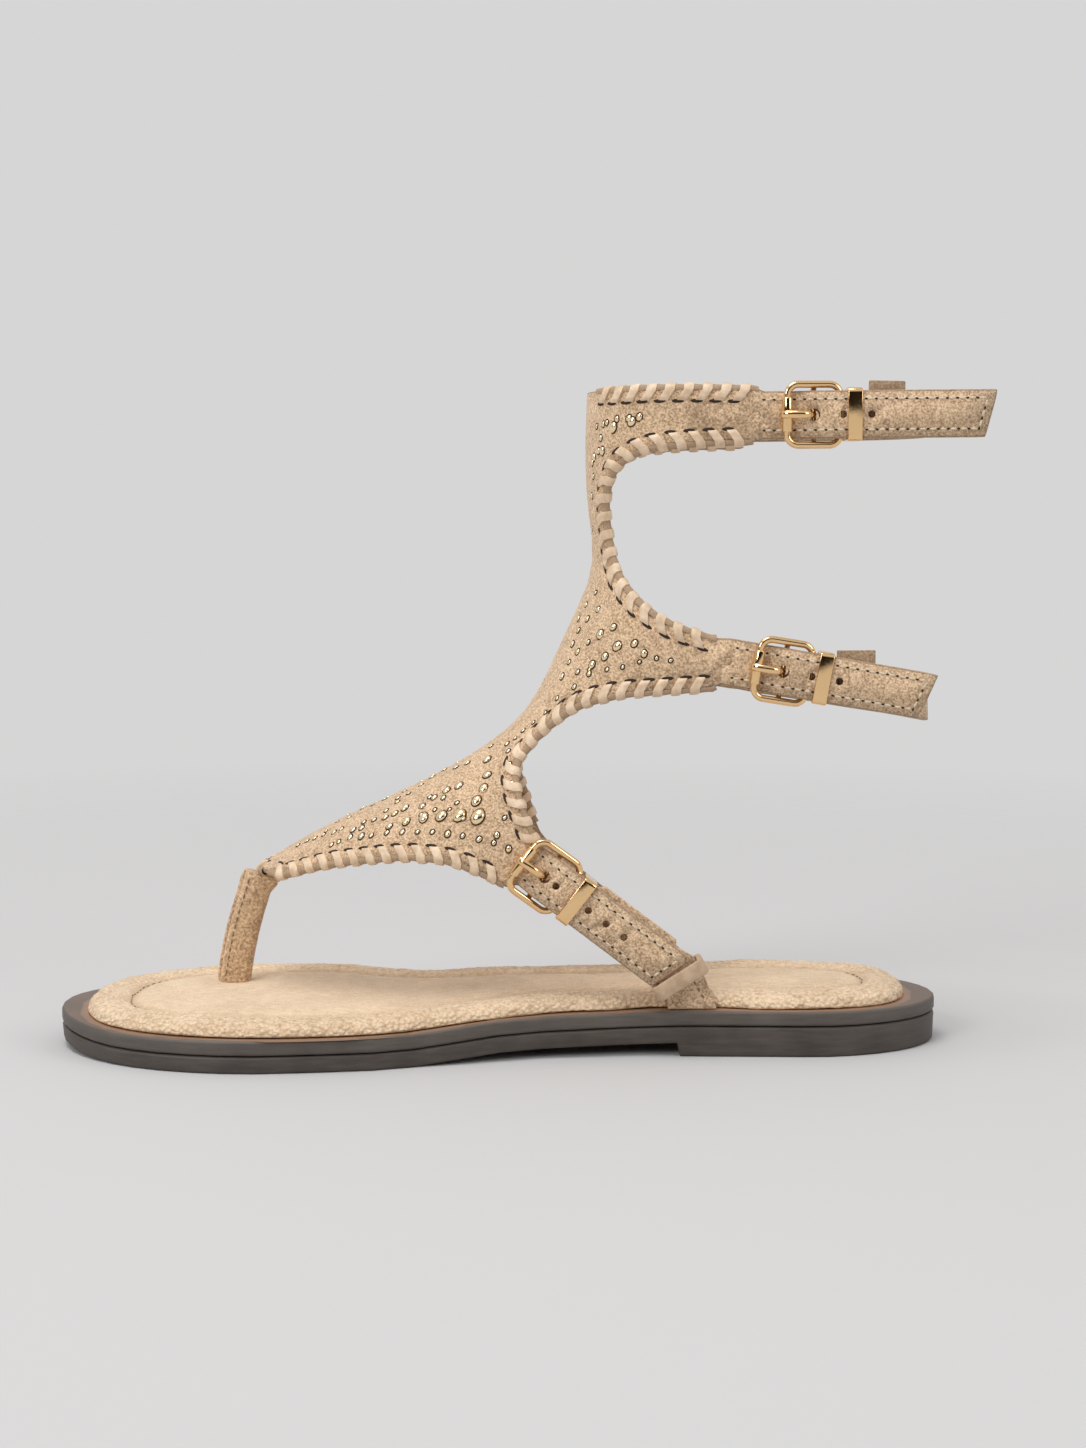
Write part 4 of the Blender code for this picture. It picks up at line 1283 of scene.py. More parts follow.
@dataclass
class Upper:
    """The suede wall with its lacing, studs and stitches."""

    edge_step: float = 1.0 * MM
    edge_bulge: float = 0.42 * MM
    edge_over: float = 0.03 * MM
    studs: Studs = field(default_factory=Studs)
    stitching: Stitching = field(default_factory=Stitching)

    def build(self, shop: Workshop) -> None:
        """Builds the upper.

        Args:
            shop: makes the pieces.
        """
        bm = shop.solid("upper")
        groups = islands(bm, 50)
        outer_faces, inner_faces = self.sort_faces(groups[0], groups[1])
        for parts in (bm.verts, bm.edges, bm.faces):
            parts.index_update()
        outer, inner = Skin(outer_faces), Skin(inner_faces)
        rim = Rim(outer_faces)
        for face in bm.faces:
            face.material_index = 0 if face in outer_faces or face in inner_faces else 1
        shop.piece(bm, "suede_upper", [shop.finishes.suede, shop.finishes.cut], "suede", ("upper",), 65)
        Lacing(rim, {Face.OUT: outer, Face.IN: inner}).build(shop)
        self.build_edging(shop, rim)
        self.studs.build(shop, outer)
        self.stitching.build(shop, outer)

    def build_edging(self, shop: Workshop, rim: Rim) -> None:
        """Builds the softly rounded cut edge all round the wall.

        Args:
            shop: makes the pieces.
            rim: the wall's outline.
        """
        bm = bmesh.new()
        made = bmesh.ops.create_grid(bm, x_segments=6, y_segments=round(rim.length / self.edge_step),
                                     size=1.0)
        for vert in made["verts"]:
            angle = math.pi / 2 + vert.co.x * math.radians(90)
            edge, normal, inward = rim.at(rim.length * (vert.co.y + 1) / 2)
            out = normal * math.cos(angle) * (WALL / 2 + self.edge_over)
            vert.co = edge - normal * (WALL / 2) + out - inward * (math.sin(angle) * self.edge_bulge)
        bmesh.ops.remove_doubles(bm, verts=bm.verts, dist=0.02 * MM)
        bmesh.ops.recalc_face_normals(bm, faces=bm.faces)
        shop.piece(bm, "cut_edges", [shop.finishes.rough_suede], "suede", sharp=180)

    @staticmethod
    def sort_faces(first: set, second: set) -> tuple[set, set]:
        """Tells the wall's outer face from its inner one: the outer one holds the lowest Y.

        Args:
            first: one face of the wall.
            second: the other.

        Returns:
            The outer and the inner face.
        """
        lowest = [min(v.co.y for f in g for v in f.verts) for g in (first, second)]
        return (first, second) if lowest[0] < lowest[1] else (second, first)


# Hardware

@dataclass
class Buckle:
    """Centre bar buckle: a round-cornered wire frame, a roller on its free bar and a prong."""

    strap: Strap
    length: float = 15.3 * MM
    height: float = 17.0 * MM
    corner: float = 3.2 * MM
    wire: float = 1.02 * MM
    roller: float = 1.5 * MM
    roller_length: float = 9.6 * MM
    bar: float = 0.8 * MM
    prong: float = 0.9 * MM
    fixed_out: float = 2.4 * MM
    free_out: float = 5.3 * MM
    bar_out: float = 2.1 * MM
    seat_level: float = 23.5 * MM
    corner_steps: int = 7

    def build(self, shop: Workshop) -> None:
        """Builds frame, roller, bar and prong.

        Args:
            shop: makes the pieces.
        """
        name = self.strap.name
        place = self.strap.seat(self.seat_level)
        buckle = self.frame_wire()
        self.add_roller(buckle)
        self.add_bar(buckle)
        for part, bm in (("buckle", buckle), ("prong", self.prong_bar())):
            bmesh.ops.transform(bm, matrix=place, verts=bm.verts)
            bmesh.ops.recalc_face_normals(bm, faces=bm.faces)
            shop.piece(bm, f"gold_{part}_{name}", [shop.finishes.gold], "gold", (f"{part}_{name}",), 50)

    def frame_wire(self) -> bmesh.types.BMesh:
        """The closed wire: a round section drawn along its straights and spun round its corners.

        Returns:
            The mesh, which rises from its fixed bar to its free one.
        """
        bm = bmesh.new()
        turn = Matrix.Rotation(math.pi / 2, 4, "X")
        place = Matrix.Translation((self.length / 2, 0, 0)) @ turn
        bmesh.ops.create_circle(bm, segments=16, radius=self.wire, matrix=place)
        ring = bm.edges[:]
        along = self.length - 2 * self.corner
        across = self.height - 2 * self.corner
        ways = [Vector((0, 1, 0)), Vector((-1, 0, 0)), Vector((0, -1, 0)), Vector((1, 0, 0))]
        lengths = [across / 2, along, across, along, across / 2]
        at = Vector((self.length / 2, 0, 0))
        for k, length in enumerate(lengths):
            way = ways[k % 4]
            ring = self.draw_on(bm, ring, way * length)
            at += way * length
            if k == 4:
                break
            inwards = ways[(k + 1) % 4]
            centre = at + inwards * self.corner
            spun = bmesh.ops.spin(bm, geom=ring, cent=centre, axis=(0, 0, 1), angle=math.pi / 2,
                                   steps=self.corner_steps)
            ring = [e for e in spun["geom_last"] if isinstance(e, bmesh.types.BMEdge)]
            at = centre + way * self.corner
        bmesh.ops.remove_doubles(bm, verts=bm.verts, dist=0.01 * MM)
        for vert in bm.verts:
            share = 0.5 - vert.co.x / self.length
            vert.co.z += self.fixed_out + (self.free_out - self.fixed_out) * share
        return bm

    @staticmethod
    def draw_on(bm: bmesh.types.BMesh, ring: list, step: Vector) -> list:
        """Extrudes a ring of edges.

        Args:
            bm: the mesh.
            ring: its last ring.
            step: how far the new one is from it.

        Returns:
            The new ring.
        """
        made = bmesh.ops.extrude_edge_only(bm, edges=ring)["geom"]
        verts = [v for v in made if isinstance(v, bmesh.types.BMVert)]
        bmesh.ops.translate(bm, verts=verts, vec=step)
        return [e for e in made if isinstance(e, bmesh.types.BMEdge) and all(v in verts for v in e.verts)]

    def add_roller(self, bm: bmesh.types.BMesh) -> None:
        """Adds the sleeve on the free bar.

        Args:
            bm: the buckle's mesh.
        """
        part = bmesh.new()
        bmesh.ops.create_cone(part, cap_ends=True, segments=20, radius1=self.roller, radius2=self.roller,
                              depth=self.roller_length)
        soften(part, 60, 0.25 * MM)
        turn = Matrix.Rotation(math.pi / 2, 4, "X")
        place = Matrix.Translation((-self.length / 2, 0, self.free_out)) @ turn
        bmesh.ops.transform(part, matrix=place, verts=part.verts)
        self.join(bm, part)

    def add_bar(self, bm: bmesh.types.BMesh) -> None:
        """Adds the bar across the middle, which dips under the tail.

        Args:
            bm: the buckle's mesh.
        """
        middle = (self.fixed_out + self.free_out) / 2
        rail = self.height / 2
        dip = STRAP_WIDTH / 2 + 0.5 * MM
        path = [Vector((0, across, out)) for across, out in (
            (-rail, middle), (-rail + 0.8 * MM, middle - 0.5 * MM), (-dip, self.bar_out),
            (dip, self.bar_out), (rail - 0.8 * MM, middle - 0.5 * MM), (rail, middle))]
        part = bmesh.new()
        place = Matrix.Translation(path[0]) @ Matrix.Rotation(math.pi / 2, 4, "X")
        bmesh.ops.create_circle(part, cap_ends=False, segments=12, radius=self.bar, matrix=place)
        ring = part.edges[:]
        for before, after in zip(path, path[1:]):
            ring = self.draw_on(part, ring, after - before)
        self.join(bm, part)

    def prong_bar(self) -> bmesh.types.BMesh:
        """The prong: up through the tail, then flat on the roller with a turned-down tip.

        Returns:
            The mesh.
        """
        rest = self.free_out + self.roller + 0.2 * MM + 0.6 * self.prong
        free = -self.length / 2
        # Distances along the strap and out of it, from the eye to the tip.
        path = [(0.1 * MM, 3.4 * MM), (-0.35 * MM, 4.9 * MM), (-1.2 * MM, 6.3 * MM), (-2.6 * MM, rest),
                (-4.4 * MM, rest + 0.25 * MM), (free, rest + 0.15 * MM), (free - 1.2 * MM, rest - 0.5 * MM),
                (free - 1.9 * MM, rest - 1.3 * MM)]
        bm = bmesh.new()
        before = self.section(path, 0)
        bmesh.ops.create_circle(bm, cap_ends=False, segments=14, radius=1.0, matrix=before)
        ring = bm.edges[:]
        first = ring
        for k in range(1, len(path)):
            after = self.section(path, k)
            ring = self.draw_on(bm, ring, Vector())
            verts = list({v for e in ring for v in e.verts})
            bmesh.ops.transform(bm, matrix=after @ before.inverted(), verts=verts)
            before = after
        bmesh.ops.edgeloop_fill(bm, edges=first)
        bmesh.ops.edgeloop_fill(bm, edges=ring)
        soften(bm, 60, 0.25 * MM)
        return bm

    def section(self, path: list, k: int) -> Matrix:
        """One section of the prong.

        Args:
            path: the prong's middle line.
            k: number of the section.

        Returns:
            The matrix from a unit circle to it.
        """
        before, after = path[max(k - 1, 0)], path[min(k + 1, len(path) - 1)]
        way = Vector((after[0] - before[0], 0, after[1] - before[1])).normalized()
        side = Vector((0, 1, 0))
        width = 0.95 * self.prong if k < 3 else 1.25 * self.prong
        thick = 0.8 * self.prong if k < len(path) - 1 else 0.45 * self.prong
        turn = Matrix((side, way.cross(side), way)).transposed().to_4x4()
        centre = Vector((path[k][0], 0, path[k][1]))
        return Matrix.Translation(centre) @ turn @ Matrix.Diagonal((width, thick, 1.0, 1.0))

    @staticmethod
    def join(bm: bmesh.types.BMesh, part: bmesh.types.BMesh) -> None:
        """Adds a part's mesh to the buckle's.

        Args:
            bm: the buckle's mesh.
            part: the part's mesh, which is freed.
        """
        mesh = bpy.data.meshes.new("part")
        part.to_mesh(mesh)
        part.free()
        bm.from_mesh(mesh)
        bpy.data.meshes.remove(mesh)


@dataclass
class Hardware:
    """The three buckles and their keepers."""

    rounding: float = 0.22 * MM

    def build(self, shop: Workshop) -> None:
        """Builds each strap's buckle and keeper.

        Args:
            shop: makes the pieces.
        """
        for strap in STRAPS:
            Buckle(strap).build(shop)
            node = f"keeper_{strap.name}"
            bm = shop.solid(node)
            soften(bm, 50, self.rounding, 3)
            shop.piece(bm, f"gold_{node}", [shop.finishes.gold], "gold", (node,), 60)


# Small suede and leather pieces

@dataclass
class Trims:
    """Tabs, the leather loop and the strap that carries the lowest buckle."""

    rounding: float = 0.35 * MM
    root_rows: tuple = (((-0.0440, 0.0262), (-0.0385, 0.0165)), ((-0.0520, 0.0205), (-0.0490, 0.0165)))
    root_pitch: float = 2.3 * MM
    root_stitch: tuple = (0.8 * MM, 0.3 * MM, 0.2 * MM)

    def build(self, shop: Workshop) -> None:
        """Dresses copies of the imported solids.

        Args:
            shop: makes the pieces.
        """
        fin = shop.finishes
        for node, name, finish, slot in (
            ("tab_collar", "suede_tab_collar", fin.rough_suede, "suede"),
            ("tab_ankle", "suede_tab_ankle", fin.rough_suede, "suede"),
            ("tail_loop", "leather_loop", fin.loop, "leather"),
            ("anchor_strap", "suede_anchor_strap", fin.suede, "suede"),
        ):
            bm = shop.solid(node)
            soften(bm, 50, self.rounding)
            if node == "anchor_strap":
                self.build_root_stitches(shop, BVHTree.FromBMesh(bm))
            shop.piece(bm, name, [finish], slot, (node,), 60)

    def build_root_stitches(self, shop: Workshop, tree: BVHTree) -> None:
        """Builds the stitches at the root of the anchor strap.

        Args:
            shop: makes the pieces.
            tree: the anchor strap's faces.
        """
        thread = Pebbles()
        for start, end in self.root_rows:
            start, end = Vector(start), Vector(end)
            count = round((end - start).length / self.root_pitch)
            for k in range(count):
                place = start.lerp(end, (k + 0.5) / count)
                hit, normal, _, _ = tree.ray_cast(Vector((place.x, -BESIDE, place.y)), Vector((0, 1, 0)))
                if hit is not None:
                    way = Vector((end.x - start.x, 0, end.y - start.y))
                    thread.add(oriented(hit, way, normal, self.root_stitch))
        shop.piece(thread.bm, "root_stitches", [shop.finishes.cut], "suede", sharp=180)


@dataclass
class ToePost:
    """The folded suede post with its seam along the front, its dark brown stitches, which also paint the
    shade where they sink in, and the fold at its top.
    """

    rounding: float = 1.7 * MM
    seam_out: float = 0.9 * MM
    seam_thickness: float = 1.5 * MM
    seam_lift: float = 0.15 * MM
    seam_low: float = 0.14
    seam_share: float = 0.80
    seam_side: tuple = (16.5 * MM, 13.0 * MM)
    stitch: tuple = (0.75 * MM, 0.32 * MM, 0.2 * MM)
    stitch_uneven: float = 0.35
    stitch_behind: float = 1.9 * MM
    top: Place = (-0.1708, 0.0474)
    top_slope: float = 0.325
    fold_place: tuple = (-0.1680, 0.0128, 0.0465)
    fold_size: tuple = (3.4 * MM, 3.4 * MM, 2.1 * MM)
    steps: int = 14

    def build(self, shop: Workshop) -> None:
        """Builds the post, its seam and the seam's stitches.

        Args:
            shop: makes the pieces.
        """
        bm = shop.solid("toe_post")
        for vert in bm.verts:
            vert.co.z = min(vert.co.z, self.top[1] - self.top_slope * (vert.co.x - self.top[0]))
        tree = BVHTree.FromBMesh(bm)
        soften(bm, 50, self.rounding, 4)
        suede = [shop.finishes.post]
        shop.piece(bm, "suede_toe_post", suede, "suede", ("toe_post",), 60)
        front = self.front_line(tree)
        seam, thread, fold = Pebbles(10, 8), Pebbles(), Pebbles(16, 10)
        for before, after in zip(front, front[1:]):
            middle = (before + after) / 2
            way = after - before
            out = way.cross(Vector((0, 1, 0))).normalized()
            out = out if out.x < 0 else -out
            size = (way.length * 1.5, self.seam_thickness / 2, self.seam_out)
            seam.add(oriented(middle + out * self.seam_lift, way, out, size))
            start = Vector((middle.x + self.stitch_behind, -BESIDE, middle.z))
            found = tree.ray_cast(start, Vector((0, 1, 0)))[0]
            if found is not None:
                uneven = 1 + self.stitch_uneven * math.sin(37 * middle.z / MM)
                size = (self.stitch[0] * uneven, *self.stitch[1:])
                thread.add(oriented(found, way, Vector((0, -1, 0)), size))
        slant = Vector((1, 0, -self.top_slope))
        fold.add(oriented(Vector(self.fold_place), slant, Vector((self.top_slope, 0, 1)), self.fold_size))
        shop.piece(seam.bm, "toe_post_seam", suede, "suede", sharp=180)
        # Stitches partly thread, partly painted shade: dark brown marks along the seam.
        shop.piece(thread.bm, "toe_post_stitches_and_shade", [shop.finishes.cut], "suede", sharp=180)
        shop.piece(fold.bm, "toe_post_fold", suede, "suede", sharp=180)

    def front_line(self, tree: BVHTree) -> list[Vector]:
        """Follows the front of the post upwards.

        Args:
            tree: the post's faces.

        Returns:
            Points on it.
        """
        low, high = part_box("toe_post")
        foot, head = self.seam_side
        points = []
        for k in range(self.steps + 1):
            z = low.z + (high.z - low.z) * (self.seam_low + self.seam_share * k / self.steps)
            y = foot + (head - foot) * k / self.steps
            hit = tree.ray_cast(Vector((low.x - BESIDE, y, z)), Vector((1, 0, 0)))[0]
            if hit is not None:
                points.append(hit)
        return points


# Footbed and sole

@dataclass
class Footbed:
    """The padded insole: a rounded border, a sewn groove and a raised middle.

    A row of section is one step inwards from the outline: its inset in millimetres, its rise as a share of
    the height, how much it belongs to the border, and how much it belongs to the groove, which the pad's
    material darkens there as painted shade. A row of roots is where a strap's root presses the pad in: its
    first and last X and the Y that the pad keeps inside.
    """

    height: float = 5.6 * MM
    sink: float = 0.5 * MM
    cut: float = 10 * MM
    reach: float = 4.2 * MM
    spread: float = 1.1 * MM
    curl: float = 1.5 * MM
    curl_low: float = 0.12 * MM
    curl_high: float = 0.22 * MM
    lump: float = 14 * MM
    lump_height: float = 0.4 * MM
    stations: int = 46
    spacing: float = 2.5 * MM
    stitch: tuple = (0.95 * MM, 0.3 * MM, 0.22 * MM)
    stitch_pitch: float = 3.0 * MM
    section: tuple = (
        (0.0, 0.30, 1.0, 0.0),
        (0.35, 0.18, 1.0, 0.0),
        (0.6, 0.16, 1.0, 0.0),
        (1.1, 0.14, 1.0, 0.0),
        (1.6, 0.10, 1.0, 0.0),
        (2.2, 0.06, 1.0, 0.0),
        (2.6, 0.0, 0.9, 0.0),
        (2.2, -0.10, 0.6, 0.0),
        (1.3, -0.13, 0.3, 0.5),
        (0.7, -0.05, 0.0, 1.0),
        (0.7, 0.06, 0.0, 0.5),
        (1.6, 0.12, 0.0, 0.0),
        (3.0, 0.07, 0.0, 0.0),
        (5.0, 0.03, 0.0, 0.0),
    )
    post: Place = (-0.180, 0.0165)
    dimple: float = 1.6 * MM
    roots: tuple = ((-0.060, -0.033, -22.0 * MM), (-0.060, -0.031, 24.4 * MM))
    press_reach: float = 7 * MM
    stain_rings: tuple = ((0.0, -1.5 * MM), (0.45, 0.7 * MM), (1.0, 2.1 * MM))
    stain_lift: float = 0.08 * MM
    ledge: float = 0.5 * MM
    rim_top: BVHTree = field(init=False)

    def build(self, shop: Workshop) -> None:
        """Builds the pad and the stain of the rim round it.

        Args:
            shop: makes the pieces.
        """
        self.rim_top = BVHTree.FromBMesh(shop.solid("midsole"))
        outline = self.outline(shop)
        bm = self.pad(outline)
        piece = shop.piece(bm, "footbed_pad", [shop.finishes.footbed], "suede", ("insole",), 180)
        self.subdivide(piece)
        self.build_stitches(shop, piece, outline)
        self.build_stain(shop, outline)

    def outline(self, shop: Workshop) -> list[Vector]:
        """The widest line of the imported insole, without the notches at the straps' roots.

        Args:
            shop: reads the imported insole.

        Returns:
            Its points in the plan.
        """
        bm = shop.solid("insole")
        points = [Vector((v.co.x, v.co.y)) for v in bm.verts]
        bm.free()
        low, high = min(p.x for p in points), max(p.x for p in points)
        sides: dict[int, list[Vector]] = {-1: [], 1: []}
        reach = (high - low) / self.stations
        for k in range(1, self.stations):
            x = low + (high - low) * (1 - math.cos(math.pi * k / self.stations)) / 2
            for side in sides:
                near = [p for p in points if abs(p.x - x) < reach and p.y * side > 0]
                if near:
                    sides[side].append(max(near, key=lambda p: p.y * side))
        line = [min(points, key=lambda p: p.x)] + sides[-1] + [max(points, key=lambda p: p.x)]
        kept: list[Vector] = []
        for p in line + sides[1][::-1]:
            if not kept or (p - kept[-1]).length > self.spacing:
                kept.append(p)
        for _ in range(2):
            kept = [kept[k] * 0.5 + (kept[k - 1] + kept[(k + 1) % len(kept)]) * 0.25
                    for k in range(len(kept))]
        middle, half = (low + high) / 2, (high - low) / 2
        return [Vector((p.x + self.reach * ((p.x - middle) / half) ** 5,
                        p.y + self.spread * math.copysign(min(1.0, abs(p.y) / (12 * MM)), p.y)))
                for p in kept]

    def pad(self, outline: list[Vector]) -> bmesh.types.BMesh:
        """The pad: its outline raised and inset step by step.

        Args:
            outline: the pad's widest line.

        Returns:
            The mesh.
        """
        bm = bmesh.new()
        bottom = bm.faces.new([bm.verts.new((p.x, p.y, 0)) for p in outline])
        border = bm.verts.layers.float.new("border")
        groove = bm.verts.layers.float.new("groove")
        grown = bmesh.ops.extrude_face_region(bm, geom=[bottom])["geom"]
        top = next(f for f in grown if isinstance(f, bmesh.types.BMFace))
        for inset, rise, on_border, groove_shade in self.section:
            if inset:
                bmesh.ops.inset_region(bm, faces=[top], thickness=inset * MM, use_even_offset=True)
            for vert in top.verts:
                vert.co.z += rise * self.height
                vert[border] = on_border
                vert[groove] = groove_shade
        # The wide middle is cut across, so that it can follow the sole's arch.
        for k in range(-22, 3):
            wide = [f for f in bm.faces if f.calc_area() > self.cut ** 2]
            edges = list(dict.fromkeys(e for f in wide for e in f.edges))
            verts = list(dict.fromkeys(v for f in wide for v in f.verts))
            bmesh.ops.bisect_plane(bm, geom=wide + edges + verts, dist=0.05 * MM,
                                   plane_co=(k * self.cut, 0, 0), plane_no=(1, 0, 0))
        bmesh.ops.recalc_face_normals(bm, faces=bm.faces)
        for vert in bm.verts:
            self.settle(vert)
        return bm

    def settle(self, vert: bmesh.types.BMVert) -> None:
        """Lays a vertex over the rim's top and presses it in at the straps' roots and the post.

        Args:
            vert: the vertex.
        """
        for start, end, limit in self.roots:
            side = math.copysign(1.0, limit)
            gap = max(start - vert.co.x, vert.co.x - end, 0.0)
            press = max(0.0, 1 - gap / self.press_reach) ** 2
            if vert.co.y * side > limit * side:
                vert.co.y += (limit - vert.co.y) * press
        base = self.top_of_rim(Vector((vert.co.x, vert.co.y * 0.9)))
        away = math.hypot(vert.co.x - self.post[0], vert.co.y - self.post[1])
        dimple = self.dimple * math.exp(-(away / self.press_reach) ** 2) if vert.co.z > 1 * MM else 0.0
        vert.co.z += base - self.sink - dimple

    def subdivide(self, piece: bpy.types.Object) -> None:
        """Subdivides the pad and roughens it with curls and soft lumps.

        Args:
            piece: the pad.
        """
        modifier = piece.modifiers.new("rounding", "SUBSURF")
        modifier.levels = 3
        modifier.render_levels = 3
        bpy.context.view_layer.update()
        graph = bpy.context.evaluated_depsgraph_get()
        mesh = bpy.data.meshes.new_from_object(piece.evaluated_get(graph), depsgraph=graph)
        piece.modifiers.clear()
        piece.data = mesh
        mesh.shade_smooth()
        border = [item.value for item in mesh.attributes["border"].data]
        points = [v.co.copy() for v in mesh.vertices]
        normals = [v.normal.copy() for v in mesh.vertices]
        lowest = min(p.z for p in points)
        flat = []
        for point, normal, share in zip(points, normals, border):
            if normal.z > 0 or point.z > lowest + 3 * MM:
                fine = noise.noise(point / self.curl) * (self.curl_low + self.curl_high * share)
                soft = noise.noise(point / self.lump) * self.lump_height
                point += normal * (fine + soft)
            flat.extend(point)
        mesh.vertices.foreach_set("co", flat)
        mesh.update()

    @staticmethod
    def moved(outline: list[Vector], away: float) -> list[Vector]:
        """Moves the outline outwards.

        Args:
            outline: the outline.
            away: how far, inwards where it is negative.

        Returns:
            The new line, point by point.
        """
        count = len(outline)
        turn = math.copysign(1.0, sum(outline[k - 1].cross(outline[k]) for k in range(count)))
        line = []
        for k, p in enumerate(outline):
            way = (outline[(k + 1) % count] - outline[k - 1]).normalized()
            line.append(p + Vector((way.y, -way.x)) * turn * away)
        return line

    def build_stitches(self, shop: Workshop, pad: bpy.types.Object, outline: list[Vector]) -> None:
        """The stitches sunk in the groove.

        Args:
            shop: makes the pieces.
            pad: the finished pad.
            outline: the pad's widest line.
        """
        points = [v.co.copy() for v in pad.data.vertices]
        tree = BVHTree.FromPolygons(points, [tuple(p.vertices) for p in pad.data.polygons])
        depth = 0.0
        for inset, _, _, groove_shade in self.section:
            depth += inset * MM
            if groove_shade == 1.0:
                break
        line = self.moved(outline, -depth)
        thread = Pebbles()
        gone = 0.0
        for before, after in zip(line, line[1:] + line[:1]):
            length = (after - before).length
            while gone < length:
                at = before.lerp(after, gone / length)
                hit, normal, _, _ = tree.ray_cast(Vector((at.x, at.y, ABOVE)), DOWN)
                if hit is not None:
                    way = Vector((after.x - before.x, after.y - before.y, 0))
                    thread.add(oriented(hit, way, normal, self.stitch))
                gone += self.stitch_pitch
            gone -= length
        shop.piece(thread.bm, "footbed_stitches", [shop.finishes.cut], "suede", sharp=180)

    def top_of_rim(self, place: Vector) -> float:
        """Height of the rim's top at a place."""
        hit = self.rim_top.ray_cast(Vector((place.x, place.y, ABOVE)), DOWN)[0]
        return hit.z if hit is not None else RIM_HEIGHT

    def build_stain(self, shop: Workshop, outline: list[Vector]) -> None:
        """Builds the warm band on the rim next to the pad.

        Args:
            shop: makes the pieces.
            outline: the pad's widest line.
        """
        bm = bmesh.new()
        share = bm.verts.layers.float.new("outward")
        rings = []
        inner = self.moved(outline, self.stain_rings[0][1])
        for outward, away in self.stain_rings:
            ring = []
            for start, end in zip(inner, self.moved(outline, away)):
                # Where the rim is narrow the band stays on its top.
                level = self.top_of_rim(start)
                for part in (1.0, 0.8, 0.6, 0.4, 0.2, 0.0):
                    place = start.lerp(end, part)
                    if abs(self.top_of_rim(place) - level) < self.ledge:
                        break
                height = self.top_of_rim(place) + (self.stain_lift if outward < 1 else 0.0)
                vert = bm.verts.new((place.x, place.y, height))
                vert[share] = outward
                ring.append(vert)
            rings.append([bm.edges.new((a, b)) for a, b in zip(ring, ring[1:] + ring[:1])])
        for low, high in zip(rings, rings[1:]):
            bmesh.ops.bridge_loops(bm, edges=low + high)
        bmesh.ops.recalc_face_normals(bm, faces=bm.faces)
        if sum(f.normal.z for f in bm.faces) < 0:
            bmesh.ops.reverse_faces(bm, faces=bm.faces)
        shop.piece(bm, "rim_stain", [shop.finishes.stain], "rim")


@dataclass
class Sole:
    """The two layers of the sole. The upper one's rim is lighter on the faces that look up."""

    rounding: float = 0.25 * MM
    level: float = 0.75

    def build(self, shop: Workshop) -> None:
        """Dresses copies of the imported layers.

        Args:
            shop: makes the pieces.
        """
        for node, name, finish, slot in (
            ("outsole", "rubber_outsole", shop.finishes.sole, "rubber"),
            ("midsole", "sole_rim", shop.finishes.rim, "rim"),
        ):
            bm = shop.solid(node)
            soften(bm, 30, self.rounding)
            bm.normal_update()
            for face in bm.faces:
                face.material_index = 1 if node == "midsole" and face.normal.z > self.level else 0
            shop.piece(bm, name, [finish, shop.finishes.rim_top], slot, (node,), 35)


# Studio

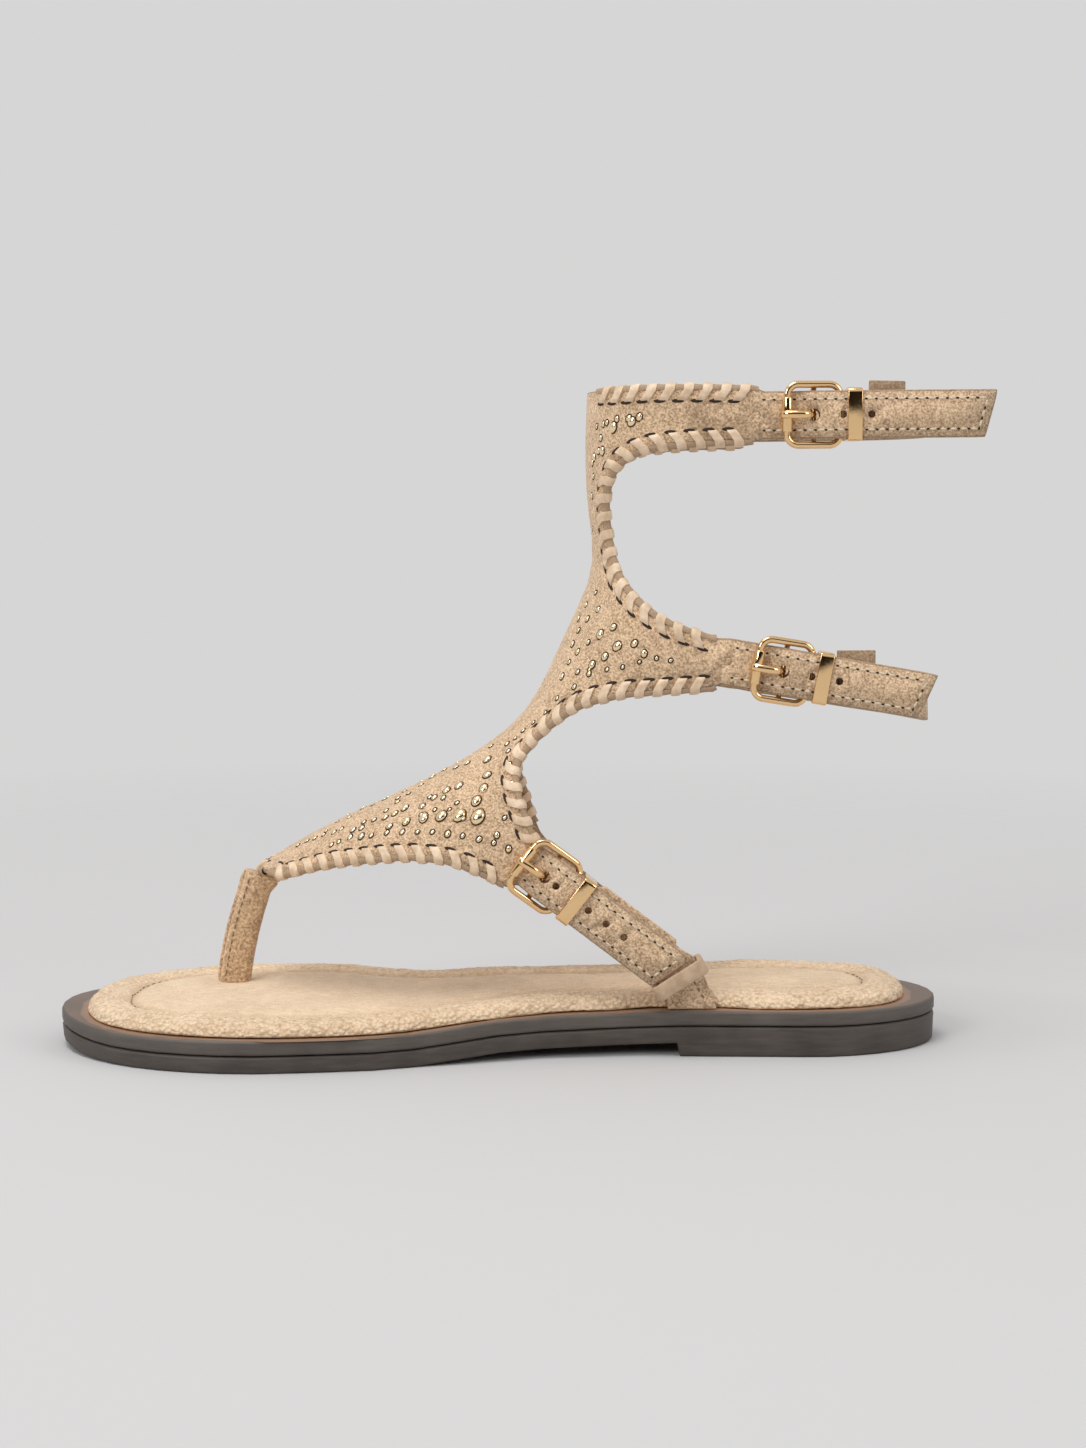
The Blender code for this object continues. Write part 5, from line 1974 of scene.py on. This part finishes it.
@dataclass
class Studio:
    """Pale seamless floor, soft lights and the camera of the photograph.

    The floor fades between two shares of its size. The screen's limits are directions of the world, as
    their part towards the camera or upwards. A row of panels is a light's name, its place, where it looks,
    its size in metres and its power in watts.
    """

    tone: Colour = (0.56, 0.555, 0.555)
    floor_size: float = 0.8
    middle: tuple = (-0.10, 0.0, 0.0)
    air: Colour = (0.679, 0.672, 0.672)
    fade: tuple = (0.22, 0.95)
    screen: Colour = (0.018, 0.014, 0.011)
    screen_front: tuple = (-0.12, -0.40)
    screen_foot: tuple = (0.02, 0.12)
    screen_top: tuple = (0.60, 0.42)
    panels: tuple = (
        ("top_panel", (-0.5, -0.5, 2.2), (-0.09, 0, 0.08), 1.1, 24.0),
        ("front_panel", (-1.6, -1.9, 1.3), (-0.09, 0, 0.08), 1.0, 24.0),
        ("right_panel", (1.7, -1.0, 0.9), (-0.05, 0, 0.1), 0.8, 8.0),
    )
    camera_place: tuple = (-0.08515, -0.69164, 0.16022)
    pitch: float = 5.459
    lens: float = 58.30

    def build(self) -> None:
        """Builds floor, lights, world and camera."""
        self.build_floor()
        self.build_lights()
        self.build_world()
        camera = bpy.data.objects.new("camera", bpy.data.cameras.new("camera"))
        camera.data.sensor_width = 36.0
        camera.data.lens = self.lens
        camera.data.clip_start = 0.01
        camera.location = self.camera_place
        camera.rotation_euler = (math.radians(90 - self.pitch), 0, 0)
        bpy.context.scene.collection.objects.link(camera)
        bpy.context.scene.camera = camera

    def build_floor(self) -> None:
        """A pale floor that fades into the even background."""
        bm = bmesh.new()
        bmesh.ops.create_circle(bm, cap_ends=True, segments=64, radius=self.floor_size)
        bmesh.ops.translate(bm, verts=bm.verts, vec=self.middle)
        mesh = bpy.data.meshes.new("floor")
        bm.to_mesh(mesh)
        bm.free()
        maker = MaterialMaker("floor_paper")
        away = maker.node("ShaderNodeVectorMath", {"operation": "DISTANCE"},
                          {0: maker.place, 1: self.middle})
        near, far = (share * self.floor_size for share in self.fade)
        fade = Value(maker, away.outputs["Value"]).spread(near, far, 1, 0)
        mesh.materials.append(maker.dress(Base_Color=self.tone, Roughness=0.9, Specular_IOR_Level=0.1,
                                          Alpha=fade))
        floor = bpy.data.objects.new("floor", mesh)
        bpy.context.scene.collection.objects.link(floor)

    def build_lights(self) -> None:
        """Soft panels over and beside the sandal."""
        for name, place, aim, size, power in self.panels:
            light = bpy.data.lights.new(name, "AREA")
            light.shape = "SQUARE"
            light.size = size
            light.energy = power
            lamp = bpy.data.objects.new(name, light)
            lamp.location = place
            lamp.rotation_euler = (Vector(aim) - Vector(place)).to_track_quat("-Z", "Y").to_euler()
            bpy.context.scene.collection.objects.link(lamp)

    def build_world(self) -> None:
        """Even pale surroundings, with a dark screen in front of the sandal for the metal to mirror."""
        world = bpy.data.worlds.new("studio_air")
        world.use_nodes = True
        maker = Nodes(world.node_tree)
        way = maker.node("ShaderNodeTexCoord", {}, {}).outputs["Generated"]
        parts = maker.node("ShaderNodeSeparateXYZ", {}, {0: way})
        front, up = (Value(maker, parts.outputs[k]) for k in (1, 2))
        dark = front.spread(*self.screen_front) * up.spread(*self.screen_foot) * up.spread(*self.screen_top)
        colour = maker.mix(dark, self.air, self.screen)
        maker.feed(maker.tree.nodes["Background"].inputs["Color"], colour)
        bpy.context.scene.world = world
        bpy.context.scene.view_settings.view_transform = "Standard"


def main() -> None:
    """Builds the sandal's looks and its studio."""
    logging.basicConfig(level=logging.INFO, format="%(message)s")
    noise.seed_set(DRIFT_SEED)
    shop = Workshop(frame, Finishes())
    for part in (Sole(), Footbed(), ToePost(), Upper(), Trims(), Hardware()):
        part.build(shop)
    Studio().build()


if __name__ == "__main__":
    main()
